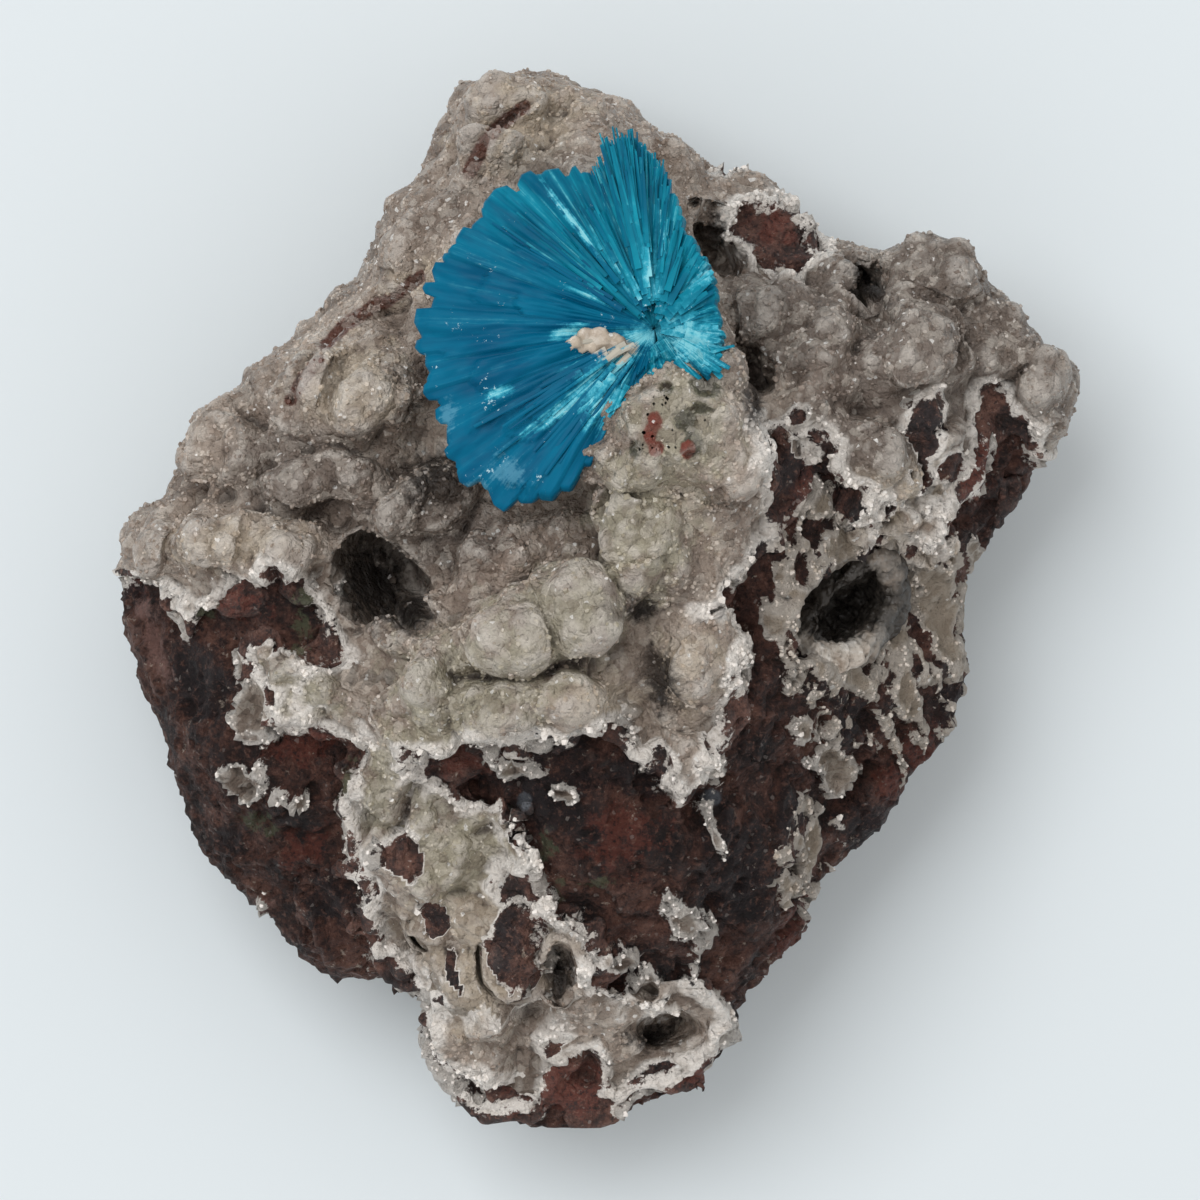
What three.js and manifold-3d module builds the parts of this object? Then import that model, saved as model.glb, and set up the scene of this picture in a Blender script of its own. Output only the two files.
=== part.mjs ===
// A mineral specimen: a fan of blue cavansite blades grown on a botryoidal crust of stilbite,
// which coats a broken piece of red-brown vesicular basalt. It lies on its flat broken base.
// Millimetres, +Z up. The origin is at the middle of the outline, on the plane of the base.

import * as THREE from "three";
import { mergeVertices } from "three/addons/utils/BufferGeometryUtils.js";
import { ImprovedNoise } from "three/addons/math/ImprovedNoise.js";
import Module from "manifold-3d";

const wasm = await Module();
wasm.setup();

// Driving dimensions
const rimHeight = 11; // the widest outline stands this far above the base
const undercut = 1.35; // how soon the flanks turn in under the rim to reach the base
const flankPower = 0.9; // how evenly they turn in
const shoulderPower = 5; // how squarely the top turns over into the flanks
const relief = [ // unevenness of the broken basalt: height, and the length of its swells
  { height: 2.8, length: 7.7 },
  { height: 1.3, length: 3.4 },
];
const lowestSkin = 0.4; // the flanks stay this far above the plane of the base
const crustThickness = 1.7;
const liningThickness = 1.2;
const liningRise = 0.7; // the lining's rim stands proud of the basalt
const contactGap = 0.3; // clearance between minerals that touch
const rockDetail = 9; // subdivision of the rock's surface, about 3 mm to an edge

// The outline seen from above, clockwise from the top
const outline = [
  [-6.6, 33.6], [-4.4, 33.7], [-1.3, 33.3], [0.3, 31.9], [2.5, 30.6], [4.7, 29.9], [5.8, 28.9],
  [6.4, 27.7], [8.8, 27.5], [10.3, 26.6], [11.4, 24.8], [13.0, 24.2], [13.9, 22.8], [17.5, 22.1],
  [21.3, 22.6], [24.1, 21.1], [25.8, 18.8], [26.6, 17.1], [28.1, 16.8], [29.7, 15.1], [30.5, 13.9],
  [30.0, 12.4], [28.9, 10.8], [28.6, 8.8], [27.2, 6.8], [24.1, 4.7], [23.4, 2.5], [22.5, 0.2],
  [22.7, -3.1], [23.3, -5.6], [22.6, -7.4], [21.1, -8.9], [20.3, -10.8], [18.4, -12.7],
  [16.6, -15.3], [14.9, -17.0], [13.3, -17.9], [13.3, -19.4], [12.5, -21.1], [10.9, -22.6],
  [8.9, -25.9], [7.4, -28.4], [7.0, -30.0], [5.6, -30.9], [0.9, -32.5], [-1.3, -33.3],
  [-2.9, -33.7], [-5.9, -32.8], [-8.1, -31.9], [-9.7, -30.1], [-10.6, -27.8], [-10.8, -25.9],
  [-11.9, -24.3], [-15.0, -23.0], [-17.2, -23.7], [-18.9, -22.9], [-20.9, -19.7], [-24.1, -17.5],
  [-25.0, -16.3], [-26.9, -11.3], [-27.5, -8.8], [-28.9, -4.7], [-29.2, -2.5], [-30.2, -0.9],
  [-30.5, 1.9], [-30.0, 3.8], [-28.6, 5.4], [-26.3, 6.4], [-26.6, 8.8], [-26.1, 11.3],
  [-25.3, 12.8], [-23.1, 13.8], [-20.9, 14.5], [-19.4, 16.3], [-17.6, 17.6], [-17.2, 19.3],
  [-15.6, 20.4], [-14.1, 21.8], [-13.4, 23.8], [-12.2, 25.6], [-10.0, 28.1], [-9.4, 30.6],
  [-8.1, 32.5],
];

// Where the crust lies, seen from above. Along the top it runs out past the outline, so there
// the crust wraps over the rim; the rest is its broken edge across the basalt.
const crustExtent = [
  [-32, 1.4], [-32, 7.5], [-28, 14.5], [-19, 22.5], [-11, 34], [-6, 36], [1.5, 35], [9, 31],
  [16, 26], [22.5, 25], [29, 19.5], [32.5, 14.5], [32, 10],
  [28.1, 8.6], [26.8, 9.1], [26.1, 11.3], [25.0, 12.4], [24.4, 10.0], [24.1, 7.5], [21.9, 5.3],
  [21.6, 2.5], [19.7, 3.4], [17.8, 5.6], [16.9, 2.8], [15.0, 4.4], [15.6, 6.3], [14.5, 8.1],
  [14.1, 10.5], [12.5, 9.5], [10.3, 10.9], [10.0, 10.0], [11.1, 7.5], [10.9, 3.8], [8.8, 1.9],
  [6.6, -0.3], [8.3, -2.5], [8.9, -5.9], [7.6, -8.8], [6.6, -11.6], [5.0, -12.6], [3.4, -10.3],
  [1.6, -9.7], [1.1, -7.8], [-3.1, -8.6], [-7.5, -8.9], [-11.4, -9.3], [-11.5, -11.3],
  [-8.8, -12.0], [-5.6, -13.3], [-3.8, -16.6], [-6.3, -17.8], [-3.4, -18.8], [0.0, -20.9],
  [0.0, -24.1], [3.1, -25.2], [6.3, -24.1], [8.1, -25.6], [7.2, -28.4], [5.6, -29.3],
  [2.5, -30.6], [0.8, -31.9], [-0.6, -29.1], [-2.5, -30.0], [-3.8, -32.0], [-6.3, -31.6],
  [-9.4, -29.2], [-10.2, -27.0], [-10.6, -24.6], [-14.4, -22.4], [-14.7, -18.8],
  [-15.9, -15.6], [-15.9, -12.5], [-15.1, -9.4], [-18.8, -7.6], [-21.1, -8.0], [-20.8, -5.9],
  [-22.5, -4.1], [-21.9, -2.5], [-18.8, -4.1], [-16.6, -3.4], [-17.4, 0.0], [-19.7, 1.4],
  [-24.1, 0.5], [-25.3, -1.6], [-27.2, 0.0], [-28.1, 1.4],
];
const crustWrap = { from: 17, to: 177, blend: 6 }; // azimuths between which it goes over the rim
const crustFlank = { start: 3.5, full: 7.5, wander: 2.5 }; // heights where it thins out on the flanks
const crustHeights = [1, 45]; // wider than any part of it

// Heights of the basalt above its base: x, y, height, reach
const spotHeights = [
  [-4.4, 30.6, 21.5, 4], [1.3, 29.4, 20, 4], [-7.5, 26.3, 24.5, 4], [-10.6, 23.1, 22.5, 3],
  [-2.5, 18.8, 26.5, 5], [-7.5, 15.6, 25, 4], [1.5, 23.1, 26.5, 4], [5.6, 10.6, 29, 4],
  [2.5, 3.8, 27, 3], [9.1, 16.3, 19.5, 2.5], [7.5, 21.9, 17, 2.5], [10.6, 23.8, 19, 3],
  [11.9, 17.5, 21, 3], [16.3, 19.4, 18, 3], [20.6, 18.1, 20, 4], [25.0, 13.8, 18, 3],
  [28.4, 13.1, 15, 3], [17.5, 12.5, 21, 3], [12.5, 12.5, 21.5, 3], [11.3, 6.9, 24, 3],
  [18.8, 7.5, 20, 4], [25.0, 8.1, 15, 3], [21.3, 0.0, 15, 4], [16.3, 3.8, 21, 3],
  [11.3, 0.0, 24, 4], [16.3, -6.3, 19, 4], [20.6, -6.3, 14.5, 3], [10.0, -7.5, 24.5, 4],
  [16.3, -11.9, 15, 4], [8.8, -15.6, 23, 4], [2.5, -15.0, 25, 5], [-2.5, -11.3, 25.5, 3],
  [5.6, -5.6, 24.5, 3], [-6.3, -3.8, 27, 4], [-0.6, -2.5, 27, 3], [-10.0, -6.3, 25, 3],
  [-6.9, 3.8, 22, 3], [-2.5, 4.4, 22.5, 2.5], [-10.6, 7.5, 22, 3], [-12.5, 0.5, 19, 2.5],
  [-16.3, 12.5, 25, 4], [-13.8, 18.1, 22, 3], [-22.5, 10.6, 20, 4], [-18.8, 6.3, 21.5, 3],
  [-23.1, 2.5, 22.5, 4], [-28.1, 0.0, 17, 3], [-18.1, -2.5, 22.5, 3], [-23.8, -7.5, 21, 4],
  [-18.8, -11.3, 22, 3], [-14.4, -10.0, 18.5, 2], [-22.5, -15.6, 17.5, 4], [-16.3, -18.8, 18, 4],
  [-11.3, -14.4, 20, 3], [-7.5, -15.6, 19.5, 3], [-9.4, -21.9, 18, 3], [-5.0, -21.3, 20, 3],
  [2.5, -21.9, 21, 3], [8.8, -21.9, 18, 3], [-6.3, -27.5, 14.5, 4], [3.8, -27.5, 13.5, 3],
  [-2.5, -31.3, 13, 3],
];

// Rounded lumps of the crust: x, y, radius, how far the middle stands above the basalt
const lumpShape = { swell: 0.12, grain: 0.6, flat: 0.9, largeFrom: 3.2 };
const lumps = [
  [5.6, 11.9, 4.4, 1.8], [2.8, 9.6, 2.9, 2.0], [7.9, 9.0, 2.7, 1.8], [2.5, 5.0, 3.3, 1.0],
  [3.4, 1.9, 2.5, 1.2], [12.5, 11.3, 2.6, 0.8], [10.6, 17.2, 2.5, 0.6], [12.4, 20.2, 2.4, 0.9],
  [19.1, 15.6, 3.2, 0.9], [20.9, 20.0, 2.8, 0.6], [24.0, 17.4, 2.6, 0.6],
  [26.6, 13.9, 2.6, 0.8], [20.6, 10.4, 2.5, 0.7], [16.7, 9.6, 2.4, 0.8], [-5.2, 30.0, 3.1, 0.4],
  [-1.0, 29.3, 3.0, 0.6], [-6.3, 26.2, 3.3, 0.6], [3.4, 27.0, 2.7, 0.7],
  [-11.0, 22.1, 2.6, 0.6], [-13.4, 17.8, 2.6, 0.8], [-17.5, 12.2, 3.2, 1.0],
  [-13.4, 12.5, 3.0, 0.9], [-22.8, 10.6, 2.8, 0.6], [-12.6, 6.6, 2.5, 0.6],
  [-26.8, 3.2, 2.4, 0.6], [-23.4, 3.3, 2.9, 0.6], [-19.6, 3.0, 2.8, 0.6],
  [-6.0, 1.9, 2.8, 0.3], [-3.6, 5.4, 2.6, 0.5], [-1.3, -1.3, 3.5, 0.6],
  [-5.0, -2.6, 3.3, 0.8], [-9.2, -4.8, 3.5, 0.6], [-6.0, -6.2, 3.0, 0.8], [-1.9, -5.4, 2.9, 0.8],
  [6.0, -3.4, 2.8, 0.8], [3.9, -8.3, 2.3, 0.6], [-8.1, -14.4, 2.4, 0.3], [-5.0, -26.9, 2.6, 0.4],
];

// Knobs of basalt that stand through the crust: x, y, half length, half width, turn in degrees
const knobs = [
  [11.3, 22.6, 2.7, 1.9, -15], [20.3, 10.9, 2.4, 1.5, 110], [-5.9, -22.2, 3.4, 2.0, 95],
  [-10.3, -20.5, 1.9, 1.6, 0], [-9.2, -23.6, 2.5, 1.3, -65], [-12.3, -16.1, 1.9, 1.7, 0],
];
const knobRise = crustThickness + 1;

// Hollows in the crust, which lines them
const hollows = [
  { at: [-13.2, 1.4], size: [3.4, 2.3], turn: -58, depth: 7, detail: 1 },
  { at: [16.4, 19.9], size: [2.4, 1.1], turn: 42, depth: 4 },
  { at: [7.2, 21.9], size: [2.8, 1.3], turn: -50, depth: 4.5 },
  { at: [9.4, 14.8], size: [2.8, 1.1], turn: -65, depth: 4.5 },
  { at: [4.0, -26.9], size: [2.5, 1.4], turn: 12, depth: 4.5 },
  { at: [-2.1, -23.1], size: [2.0, 0.9], turn: -75, depth: 3.5 },
];
const vug = { at: [15.6, -0.6], size: [3.3, 2.0], turn: 42, depth: 8, detail: 1 }; // in bare basalt

// Flat fracture faces of the flanks and underside: azimuth, tilt below the horizon, distance
const fractures = [
  [25, 38, 20], [78, 42, 17.5], [128, 34, 17.3], [176, 38, 18.8], [221, 30, 17.8], [266, 38, 20],
  [304, 34, 15.5], [342, 42, 14], [50, 12, 23.5], [200, 10, 25.2], [325, 8, 18.3],
];

// The cavansite fan
const fan = {
  centre: [3.4, 16.7, 30.6],
  lean: -7, // degrees; the left edge hangs lower than the root
  nod: -6, // and so does the top edge
  top: 0.9, // half thickness of a blade at its widest
  depth: 2.3, // from the plane of the upper blades to the underside
  root: [1.8, 0.8], // half width and half height of the thick root under the middle
  blades: 29,
  overlap: 0.95, // half width of a blade, in steps from one blade to the next
  stagger: [0, -0.55, -0.2, -0.8], // how the blades' ends come and go
  dips: [1, -1, 2, 0], // degrees by which they dip
  lower: { length: 0.9, width: 1.5, dip: 4.5 }, // the lower layer, one blade under each two
  tip: 0.9, // where a blade begins to narrow to its tip
  room: { length: 0.9, azimuth: 18, step: 9 }, // clearance around the fan in the crust
  firstAzimuth: -16,
  lastAzimuth: 236,
  reach: [ // azimuth, length of the blades there
    [-16, 4.0], [0, 4.2], [22, 4.1], [40, 4.8], [57, 5.4], [74, 6.3], [83, 8.6], [90, 10.8],
    [97, 12.0], [105, 12.4], [109, 10.6], [120, 11.4], [132, 12.6], [150, 13.6], [165, 14.8],
    [182, 15.5], [200, 15.4], [220, 15.8], [231, 14.1], [236, 12.0],
  ],
};

const noise = new ImprovedNoise();

function radians(degrees) {
  return THREE.MathUtils.degToRad(degrees);
}

function smoothstep(low, high, value) {
  return THREE.MathUtils.smoothstep(value, low, high);
}

// Distance from the middle to the outline in one direction
function outlineReach(azimuth) {
  const dx = Math.cos(azimuth);
  const dy = Math.sin(azimuth);
  let reach = 0;
  outline.forEach(([ax, ay], i) => {
    const [bx, by] = outline[(i + 1) % outline.length];
    const cross = dx * (by - ay) - dy * (bx - ax);
    const along = (ax * (by - ay) - ay * (bx - ax)) / cross;
    const share = (ax * dy - ay * dx) / cross;
    if (along > 0 && share >= 0 && share <= 1) reach = Math.max(reach, along);
  });
  return reach;
}

// The basalt stops short of the outline where the crust goes over the rim
function basaltReach(azimuth) {
  const degrees = THREE.MathUtils.radToDeg(azimuth);
  const turn = degrees < -90 ? degrees + 360 : degrees;
  const { from, to, blend } = crustWrap;
  const begins = smoothstep(from - blend, from + blend, turn);
  const ends = smoothstep(to - blend, to + blend, turn);
  return outlineReach(azimuth) - crustThickness * begins * (1 - ends);
}

// Height of the basalt's top, from the nearest spot heights, before it turns over at the rim
function plateau(x, y) {
  let sum = 0;
  let weights = 1e-9;
  for (const [sx, sy, height, reach] of spotHeights) {
    const weight = Math.exp(-((x - sx) ** 2 + (y - sy) ** 2) / (reach * reach));
    sum += weight * height;
    weights += weight;
  }
  return sum / weights;
}

function basaltTop(x, y) {
  const share = Math.min(1, Math.hypot(x, y) / basaltReach(Math.atan2(y, x)));
  const shoulder = Math.sqrt(1 - share ** shoulderPower);
  return rimHeight + (plateau(x, y) - rimHeight) * shoulder;
}

// The point of the rock's surface that one direction of a unit sphere stands for
function rockPoint(direction) {
  const azimuth = Math.atan2(direction.y, direction.x);
  const share = Math.hypot(direction.x, direction.y);
  const reach = basaltReach(azimuth) * share;
  const x = reach * Math.cos(azimuth);
  const y = reach * Math.sin(azimuth);
  if (direction.z >= 0) return new THREE.Vector3(x, y, basaltTop(x, y));
  const height = rimHeight * Math.max(0, 1 - undercut * (-direction.z) ** flankPower);
  return new THREE.Vector3(x, y, height);
}

// Moves a point of the flanks back to each fracture face that it lies beyond
function fracture(point) {
  const lowDown = 1 - smoothstep(0.5 * rimHeight, rimHeight, point.z);
  for (const [azimuth, tilt, distance] of fractures) {
    const level = Math.cos(radians(tilt));
    const normal = new THREE.Vector3(
      level * Math.cos(radians(azimuth)), level * Math.sin(radians(azimuth)), -Math.sin(radians(tilt)));
    const beyond = point.dot(normal) - distance;
    if (beyond > 0) point.addScaledVector(normal, -beyond * lowDown);
  }
}

function noiseAt(point, length) {
  return noise.noise(point.x / length, point.y / length, point.z / length);
}

// Rough broken rock: fracture faces low down, creased unevenness all over, a flat base
function weather(point) {
  const isBase = point.z <= 0;
  fracture(point);
  if (isBase) {
    point.z = 0;
    return point;
  }
  const [coarse, fine] = relief;
  const creases = coarse.height * (0.25 - Math.abs(noiseAt(point, coarse.length)));
  const bumps = fine.height * noiseAt(point, fine.length);
  point.z = Math.max(lowestSkin, point.z + creases + bumps);
  return point;
}

function rockGeometry() {
  const geometry = mergedOnly(new THREE.IcosahedronGeometry(1, rockDetail));
  const position = geometry.getAttribute("position");
  for (let i = 0; i < position.count; i++) {
    const direction = new THREE.Vector3().fromBufferAttribute(position, i);
    const point = weather(rockPoint(direction));
    position.setXYZ(i, point.x, point.y, point.z);
  }
  geometry.computeVertexNormals();
  return geometry;
}

// A copy of the rock's surface moved outwards by thicknessAt(point), along its normals
function offsetRock(geometry, thicknessAt) {
  const moved = geometry.clone();
  const position = moved.getAttribute("position");
  const normals = geometry.getAttribute("normal");
  for (let i = 0; i < position.count; i++) {
    const point = new THREE.Vector3().fromBufferAttribute(position, i);
    const normal = new THREE.Vector3().fromBufferAttribute(normals, i);
    point.addScaledVector(normal, thicknessAt(point));
    position.setXYZ(i, point.x, point.y, point.z);
  }
  return moved;
}

function mergedOnly(geometry) {
  const bare = new THREE.BufferGeometry();
  bare.setAttribute("position", geometry.getAttribute("position").clone());
  if (geometry.index) bare.setIndex(geometry.index.clone());
  return mergeVertices(bare, 1e-4);
}

function solidOf(geometry) {
  const merged = mergedOnly(geometry);
  return new wasm.Manifold(new wasm.Mesh({
    numProp: 3,
    vertProperties: merged.getAttribute("position").array,
    triVerts: new Uint32Array(merged.index.array),
  }));
}

function joined(solids) {
  return solids.reduce((whole, next) => whole.add(next));
}

// The largest body of a cut solid, without the scraps that the cut leaves
function mainBody(solid) {
  return solid.decompose().reduce((most, body) => (body.volume() > most.volume() ? body : most));
}

function meshOf(name, solid, material) {
  const { vertProperties, triVerts } = solid.getMesh();
  const geometry = new THREE.BufferGeometry();
  geometry.setAttribute("position", new THREE.BufferAttribute(new Float32Array(vertProperties), 3));
  geometry.setIndex(new THREE.BufferAttribute(new Uint32Array(triVerts), 1));
  geometry.computeVertexNormals();
  const mesh = new THREE.Mesh(geometry, material);
  mesh.name = name;
  return mesh;
}

// A faceted ellipsoid with its long axis turned in plan, at a height
function ellipsoid([x, y], height, [halfLength, halfWidth], halfHeight, turn, detail) {
  const geometry = new THREE.IcosahedronGeometry(1, detail);
  geometry.scale(halfLength, halfWidth, halfHeight);
  geometry.rotateZ(radians(turn));
  geometry.translate(x, y, height);
  return solidOf(geometry);
}

// A hollow's shape, grown outwards by so much
function hollowShape({ at, size, turn, depth, detail = 0 }, surface, grow) {
  return ellipsoid(at, surface, size.map((half) => half + grow), depth + grow, turn, detail);
}

function crustHollow(hollow, grow) {
  return hollowShape(hollow, basaltTop(...hollow.at) + crustThickness, grow);
}

function vugHollow(grow) {
  return hollowShape(vug, basaltTop(...vug.at), grow);
}

function knobSolid([x, y, halfLength, halfWidth, turn], grow) {
  const size = [halfLength + grow, halfWidth + grow];
  return ellipsoid([x, y], basaltTop(x, y), size, knobRise + grow, turn, 0);
}

// A lump of the crust, a little uneven
function lump([x, y, radius, rise]) {
  const { swell, grain, flat, largeFrom } = lumpShape;
  const geometry = mergedOnly(new THREE.IcosahedronGeometry(radius, radius > largeFrom ? 2 : 1));
  const position = geometry.getAttribute("position");
  for (let i = 0; i < position.count; i++) {
    const point = new THREE.Vector3().fromBufferAttribute(position, i);
    const bump = noise.noise(point.x * grain + x, point.y * grain + y, point.z * grain);
    point.multiplyScalar(1 + swell * bump);
    position.setXYZ(i, point.x, point.y, point.z * flat);
  }
  geometry.translate(x, y, basaltTop(x, y) + rise);
  return solidOf(geometry);
}

function prism(points, low, high) {
  const shape = new THREE.Shape(points.map(([x, y]) => new THREE.Vector2(x, y)));
  const geometry = new THREE.ExtrudeGeometry(shape, { depth: high - low, bevelEnabled: false });
  geometry.translate(0, 0, low);
  return solidOf(geometry);
}

function fanReach(direction) {
  const azimuth = THREE.MathUtils.clamp(direction, fan.firstAzimuth, fan.lastAzimuth);
  const { reach } = fan;
  const next = Math.max(1, reach.findIndex(([stop]) => stop >= azimuth));
  const [a, lengthA] = reach[next - 1];
  const [b, lengthB] = reach[next];
  return lengthA + (lengthB - lengthA) * (azimuth - a) / (b - a);
}

function placeInFan(geometry) {
  geometry.rotateX(radians(fan.nod));
  geometry.rotateY(radians(fan.lean));
  geometry.translate(...fan.centre);
  return geometry;
}

// One blade: a four-sided prism that widens from the root and ends in a low point
function blade(azimuth, length, halfWidth, halfThickness, dip) {
  const profile = [
    new THREE.Vector2(0, 0),
    new THREE.Vector2(halfWidth * 0.45, length * 0.02),
    new THREE.Vector2(halfWidth, length * fan.tip),
    new THREE.Vector2(0, length),
  ];
  const geometry = new THREE.LatheGeometry(profile, 4);
  geometry.scale(1, 1, halfThickness / halfWidth);
  geometry.rotateZ(-Math.PI / 2);
  geometry.rotateY(radians(dip));
  geometry.rotateZ(radians(azimuth));
  return solidOf(placeInFan(geometry));
}

// Two layers of blades, side by side around the fan
function sprayBlades() {
  const { firstAzimuth, lastAzimuth, blades, overlap, stagger, dips, lower, top } = fan;
  const solids = [];
  const step = (lastAzimuth - firstAzimuth) / (blades - 1);
  for (let i = 0; i < blades; i++) {
    const azimuth = firstAzimuth + i * step;
    const length = fanReach(azimuth) + stagger[i % stagger.length];
    const halfWidth = length * radians(step) * overlap;
    solids.push(blade(azimuth, length, halfWidth, top, dips[i % dips.length]));
    if (i % 2 === 0) {
      const below = azimuth + step / 2;
      solids.push(blade(below, length * lower.length, halfWidth * lower.width, top, lower.dip));
    }
  }
  return solids;
}

// The room that the spray takes in the crust: its fan-shaped outline, as deep as its blades
function sprayRoom() {
  const { firstAzimuth, lastAzimuth, room } = fan;
  const points = [];
  for (let a = firstAzimuth - room.azimuth; a <= lastAzimuth + room.azimuth; a += room.step) {
    const length = fanReach(a) + room.length;
    points.push(new THREE.Vector2(length * Math.cos(radians(a)), length * Math.sin(radians(a))));
  }
  const shape = new THREE.Shape(points);
  const height = fan.depth + fan.top + 2 * contactGap;
  const geometry = new THREE.ExtrudeGeometry(shape, { depth: height, bevelEnabled: false });
  geometry.translate(0, 0, -fan.depth - contactGap);
  return solidOf(placeInFan(geometry));
}

// The thick root where the blades meet, under the middle of the fan
function sprayRoot(grow) {
  const [halfWidth, halfHeight] = fan.root;
  const geometry = new THREE.IcosahedronGeometry(1, 1);
  geometry.scale(halfWidth + grow, halfWidth + grow, halfHeight + grow);
  return solidOf(placeInFan(geometry));
}

function basaltMaterial() {
  return new THREE.MeshStandardMaterial({ color: 0x46291f, roughness: 0.85, metalness: 0 });
}

function stilbiteMaterial() {
  return new THREE.MeshStandardMaterial({ color: 0xb3a798, roughness: 0.5, metalness: 0 });
}

function liningMaterial() {
  return new THREE.MeshStandardMaterial({ color: 0xd8d2c6, roughness: 0.45, metalness: 0 });
}

function cavansiteMaterial() {
  return new THREE.MeshStandardMaterial({ color: 0x0a6f9c, roughness: 0.3, metalness: 0 });
}

const rock = rockGeometry();

// Basalt: the rock with its knobs, less the hollows and the room for what lines them
function basaltSolid() {
  const whole = joined([solidOf(rock), ...knobs.map((knob) => knobSolid(knob, 0))]);
  const cuts = hollows.map((hollow) => crustHollow(hollow, liningThickness));
  return whole.subtract(joined([...cuts, vugHollow(liningThickness)]));
}

// Everything that the crust has to keep clear of
function basaltRoom() {
  const grown = solidOf(offsetRock(rock, () => contactGap));
  const whole = joined([grown, ...knobs.map((knob) => knobSolid(knob, contactGap))]);
  const cuts = hollows.map((hollow) => crustHollow(hollow, liningThickness - contactGap));
  return whole.subtract(joined(cuts));
}

// How thick the crust is over a point of the rock: it thins out to nothing low on the flanks
function crustOver(point) {
  const { start, full, wander } = crustFlank;
  const height = point.z + wander * noiseAt(point, 5);
  return (crustThickness + contactGap) * smoothstep(start, full, height) - contactGap;
}

// Stilbite: a layer over the rock with rounded lumps, within its extent, opened by the hollows
function crustSolid() {
  const layer = joined([solidOf(offsetRock(rock, crustOver)), ...lumps.map(lump)]);
  const whole = layer.intersect(prism(crustExtent, ...crustHeights));
  const openings = hollows.map((hollow) => crustHollow(hollow, 0));
  const cuts = [...openings, basaltRoom(), sprayRoom(), sprayRoot(contactGap)];
  return cuts.reduce((solid, cut) => solid.subtract(cut), whole);
}

function vugLiningSolid() {
  const shell = vugHollow(liningThickness - contactGap).subtract(vugHollow(0));
  return shell.intersect(solidOf(offsetRock(rock, () => liningRise)));
}

function spraySolid() {
  return joined([sprayRoot(0), ...sprayBlades()]).subtract(basaltRoom());
}

// Moves the whole specimen so that its outline's middle is over the origin
function centre(group) {
  const box = new THREE.Box3().setFromObject(group);
  const middle = box.getCenter(new THREE.Vector3());
  group.children.forEach((mesh) => mesh.geometry.translate(-middle.x, -middle.y, -box.min.z));
}

const specimen = new THREE.Group();
specimen.add(
  meshOf("basalt_matrix", mainBody(basaltSolid()), basaltMaterial()),
  meshOf("stilbite_crust", mainBody(crustSolid()), stilbiteMaterial()),
  meshOf("vug_lining", mainBody(vugLiningSolid()), liningMaterial()),
  meshOf("cavansite_spray", mainBody(spraySolid()), cavansiteMaterial()),
);
centre(specimen);

export default specimen;
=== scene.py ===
import bpy
import bmesh
import math
import random
import numpy as np
from mathutils import Matrix, Vector, noise
from mathutils.bvhtree import BVHTree
from mathutils.kdtree import KDTree


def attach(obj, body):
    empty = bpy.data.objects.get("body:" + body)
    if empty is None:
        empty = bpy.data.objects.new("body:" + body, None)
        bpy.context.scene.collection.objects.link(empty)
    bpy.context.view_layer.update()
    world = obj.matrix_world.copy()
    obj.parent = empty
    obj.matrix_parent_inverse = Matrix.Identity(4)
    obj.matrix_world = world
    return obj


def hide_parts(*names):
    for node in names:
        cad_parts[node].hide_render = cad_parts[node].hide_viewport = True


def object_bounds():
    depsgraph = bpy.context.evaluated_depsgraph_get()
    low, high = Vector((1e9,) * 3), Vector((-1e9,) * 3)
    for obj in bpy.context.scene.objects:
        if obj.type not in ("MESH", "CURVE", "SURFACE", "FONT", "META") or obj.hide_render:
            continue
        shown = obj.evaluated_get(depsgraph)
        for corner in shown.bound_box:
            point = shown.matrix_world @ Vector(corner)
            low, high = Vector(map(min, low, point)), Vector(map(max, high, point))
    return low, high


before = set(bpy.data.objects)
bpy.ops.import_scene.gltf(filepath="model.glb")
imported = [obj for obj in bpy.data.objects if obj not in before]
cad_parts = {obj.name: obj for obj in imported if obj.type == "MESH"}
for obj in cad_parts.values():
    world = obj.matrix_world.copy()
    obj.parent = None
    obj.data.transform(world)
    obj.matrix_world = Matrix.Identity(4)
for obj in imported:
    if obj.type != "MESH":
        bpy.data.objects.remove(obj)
cadLow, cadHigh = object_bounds()

# Pieces are shaped in millimetres and put into metres at the end.
photo = {"middle": (0.43, -0.17), "pixelsPerMm": 16.0}  # where the picture's centre lies on the rock


def plan(u, v):
    # a place in the 1200 x 1200 picture, as x and y on the rock
    x, y = photo["middle"]
    return x + (u - 600) / photo["pixelsPerMm"], y + (600 - v) / photo["pixelsPerMm"]


def addPiece(name, mesh):
    piece = bpy.data.objects.new(name, mesh)
    bpy.context.scene.collection.objects.link(piece)
    return piece


def pieceFrom(bm, name):
    mesh = bpy.data.meshes.new(name)
    bm.to_mesh(mesh)
    bm.free()
    return addPiece(name, mesh)


# Camera, floor and light

studio = {
    "lens": 400.0,
    "frameWidth": 0.075,
    "focusHeight": 0.019,
    "sky": (0.93, 0.91, 0.895),
    "skyStrength": 0.74,
    "keyFrom": (-0.52, 0.50, 1.33),
    "keySize": 0.95,
    "keyPower": 10.3,
    "floorColour": (0.765, 0.83, 0.865),
}


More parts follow.
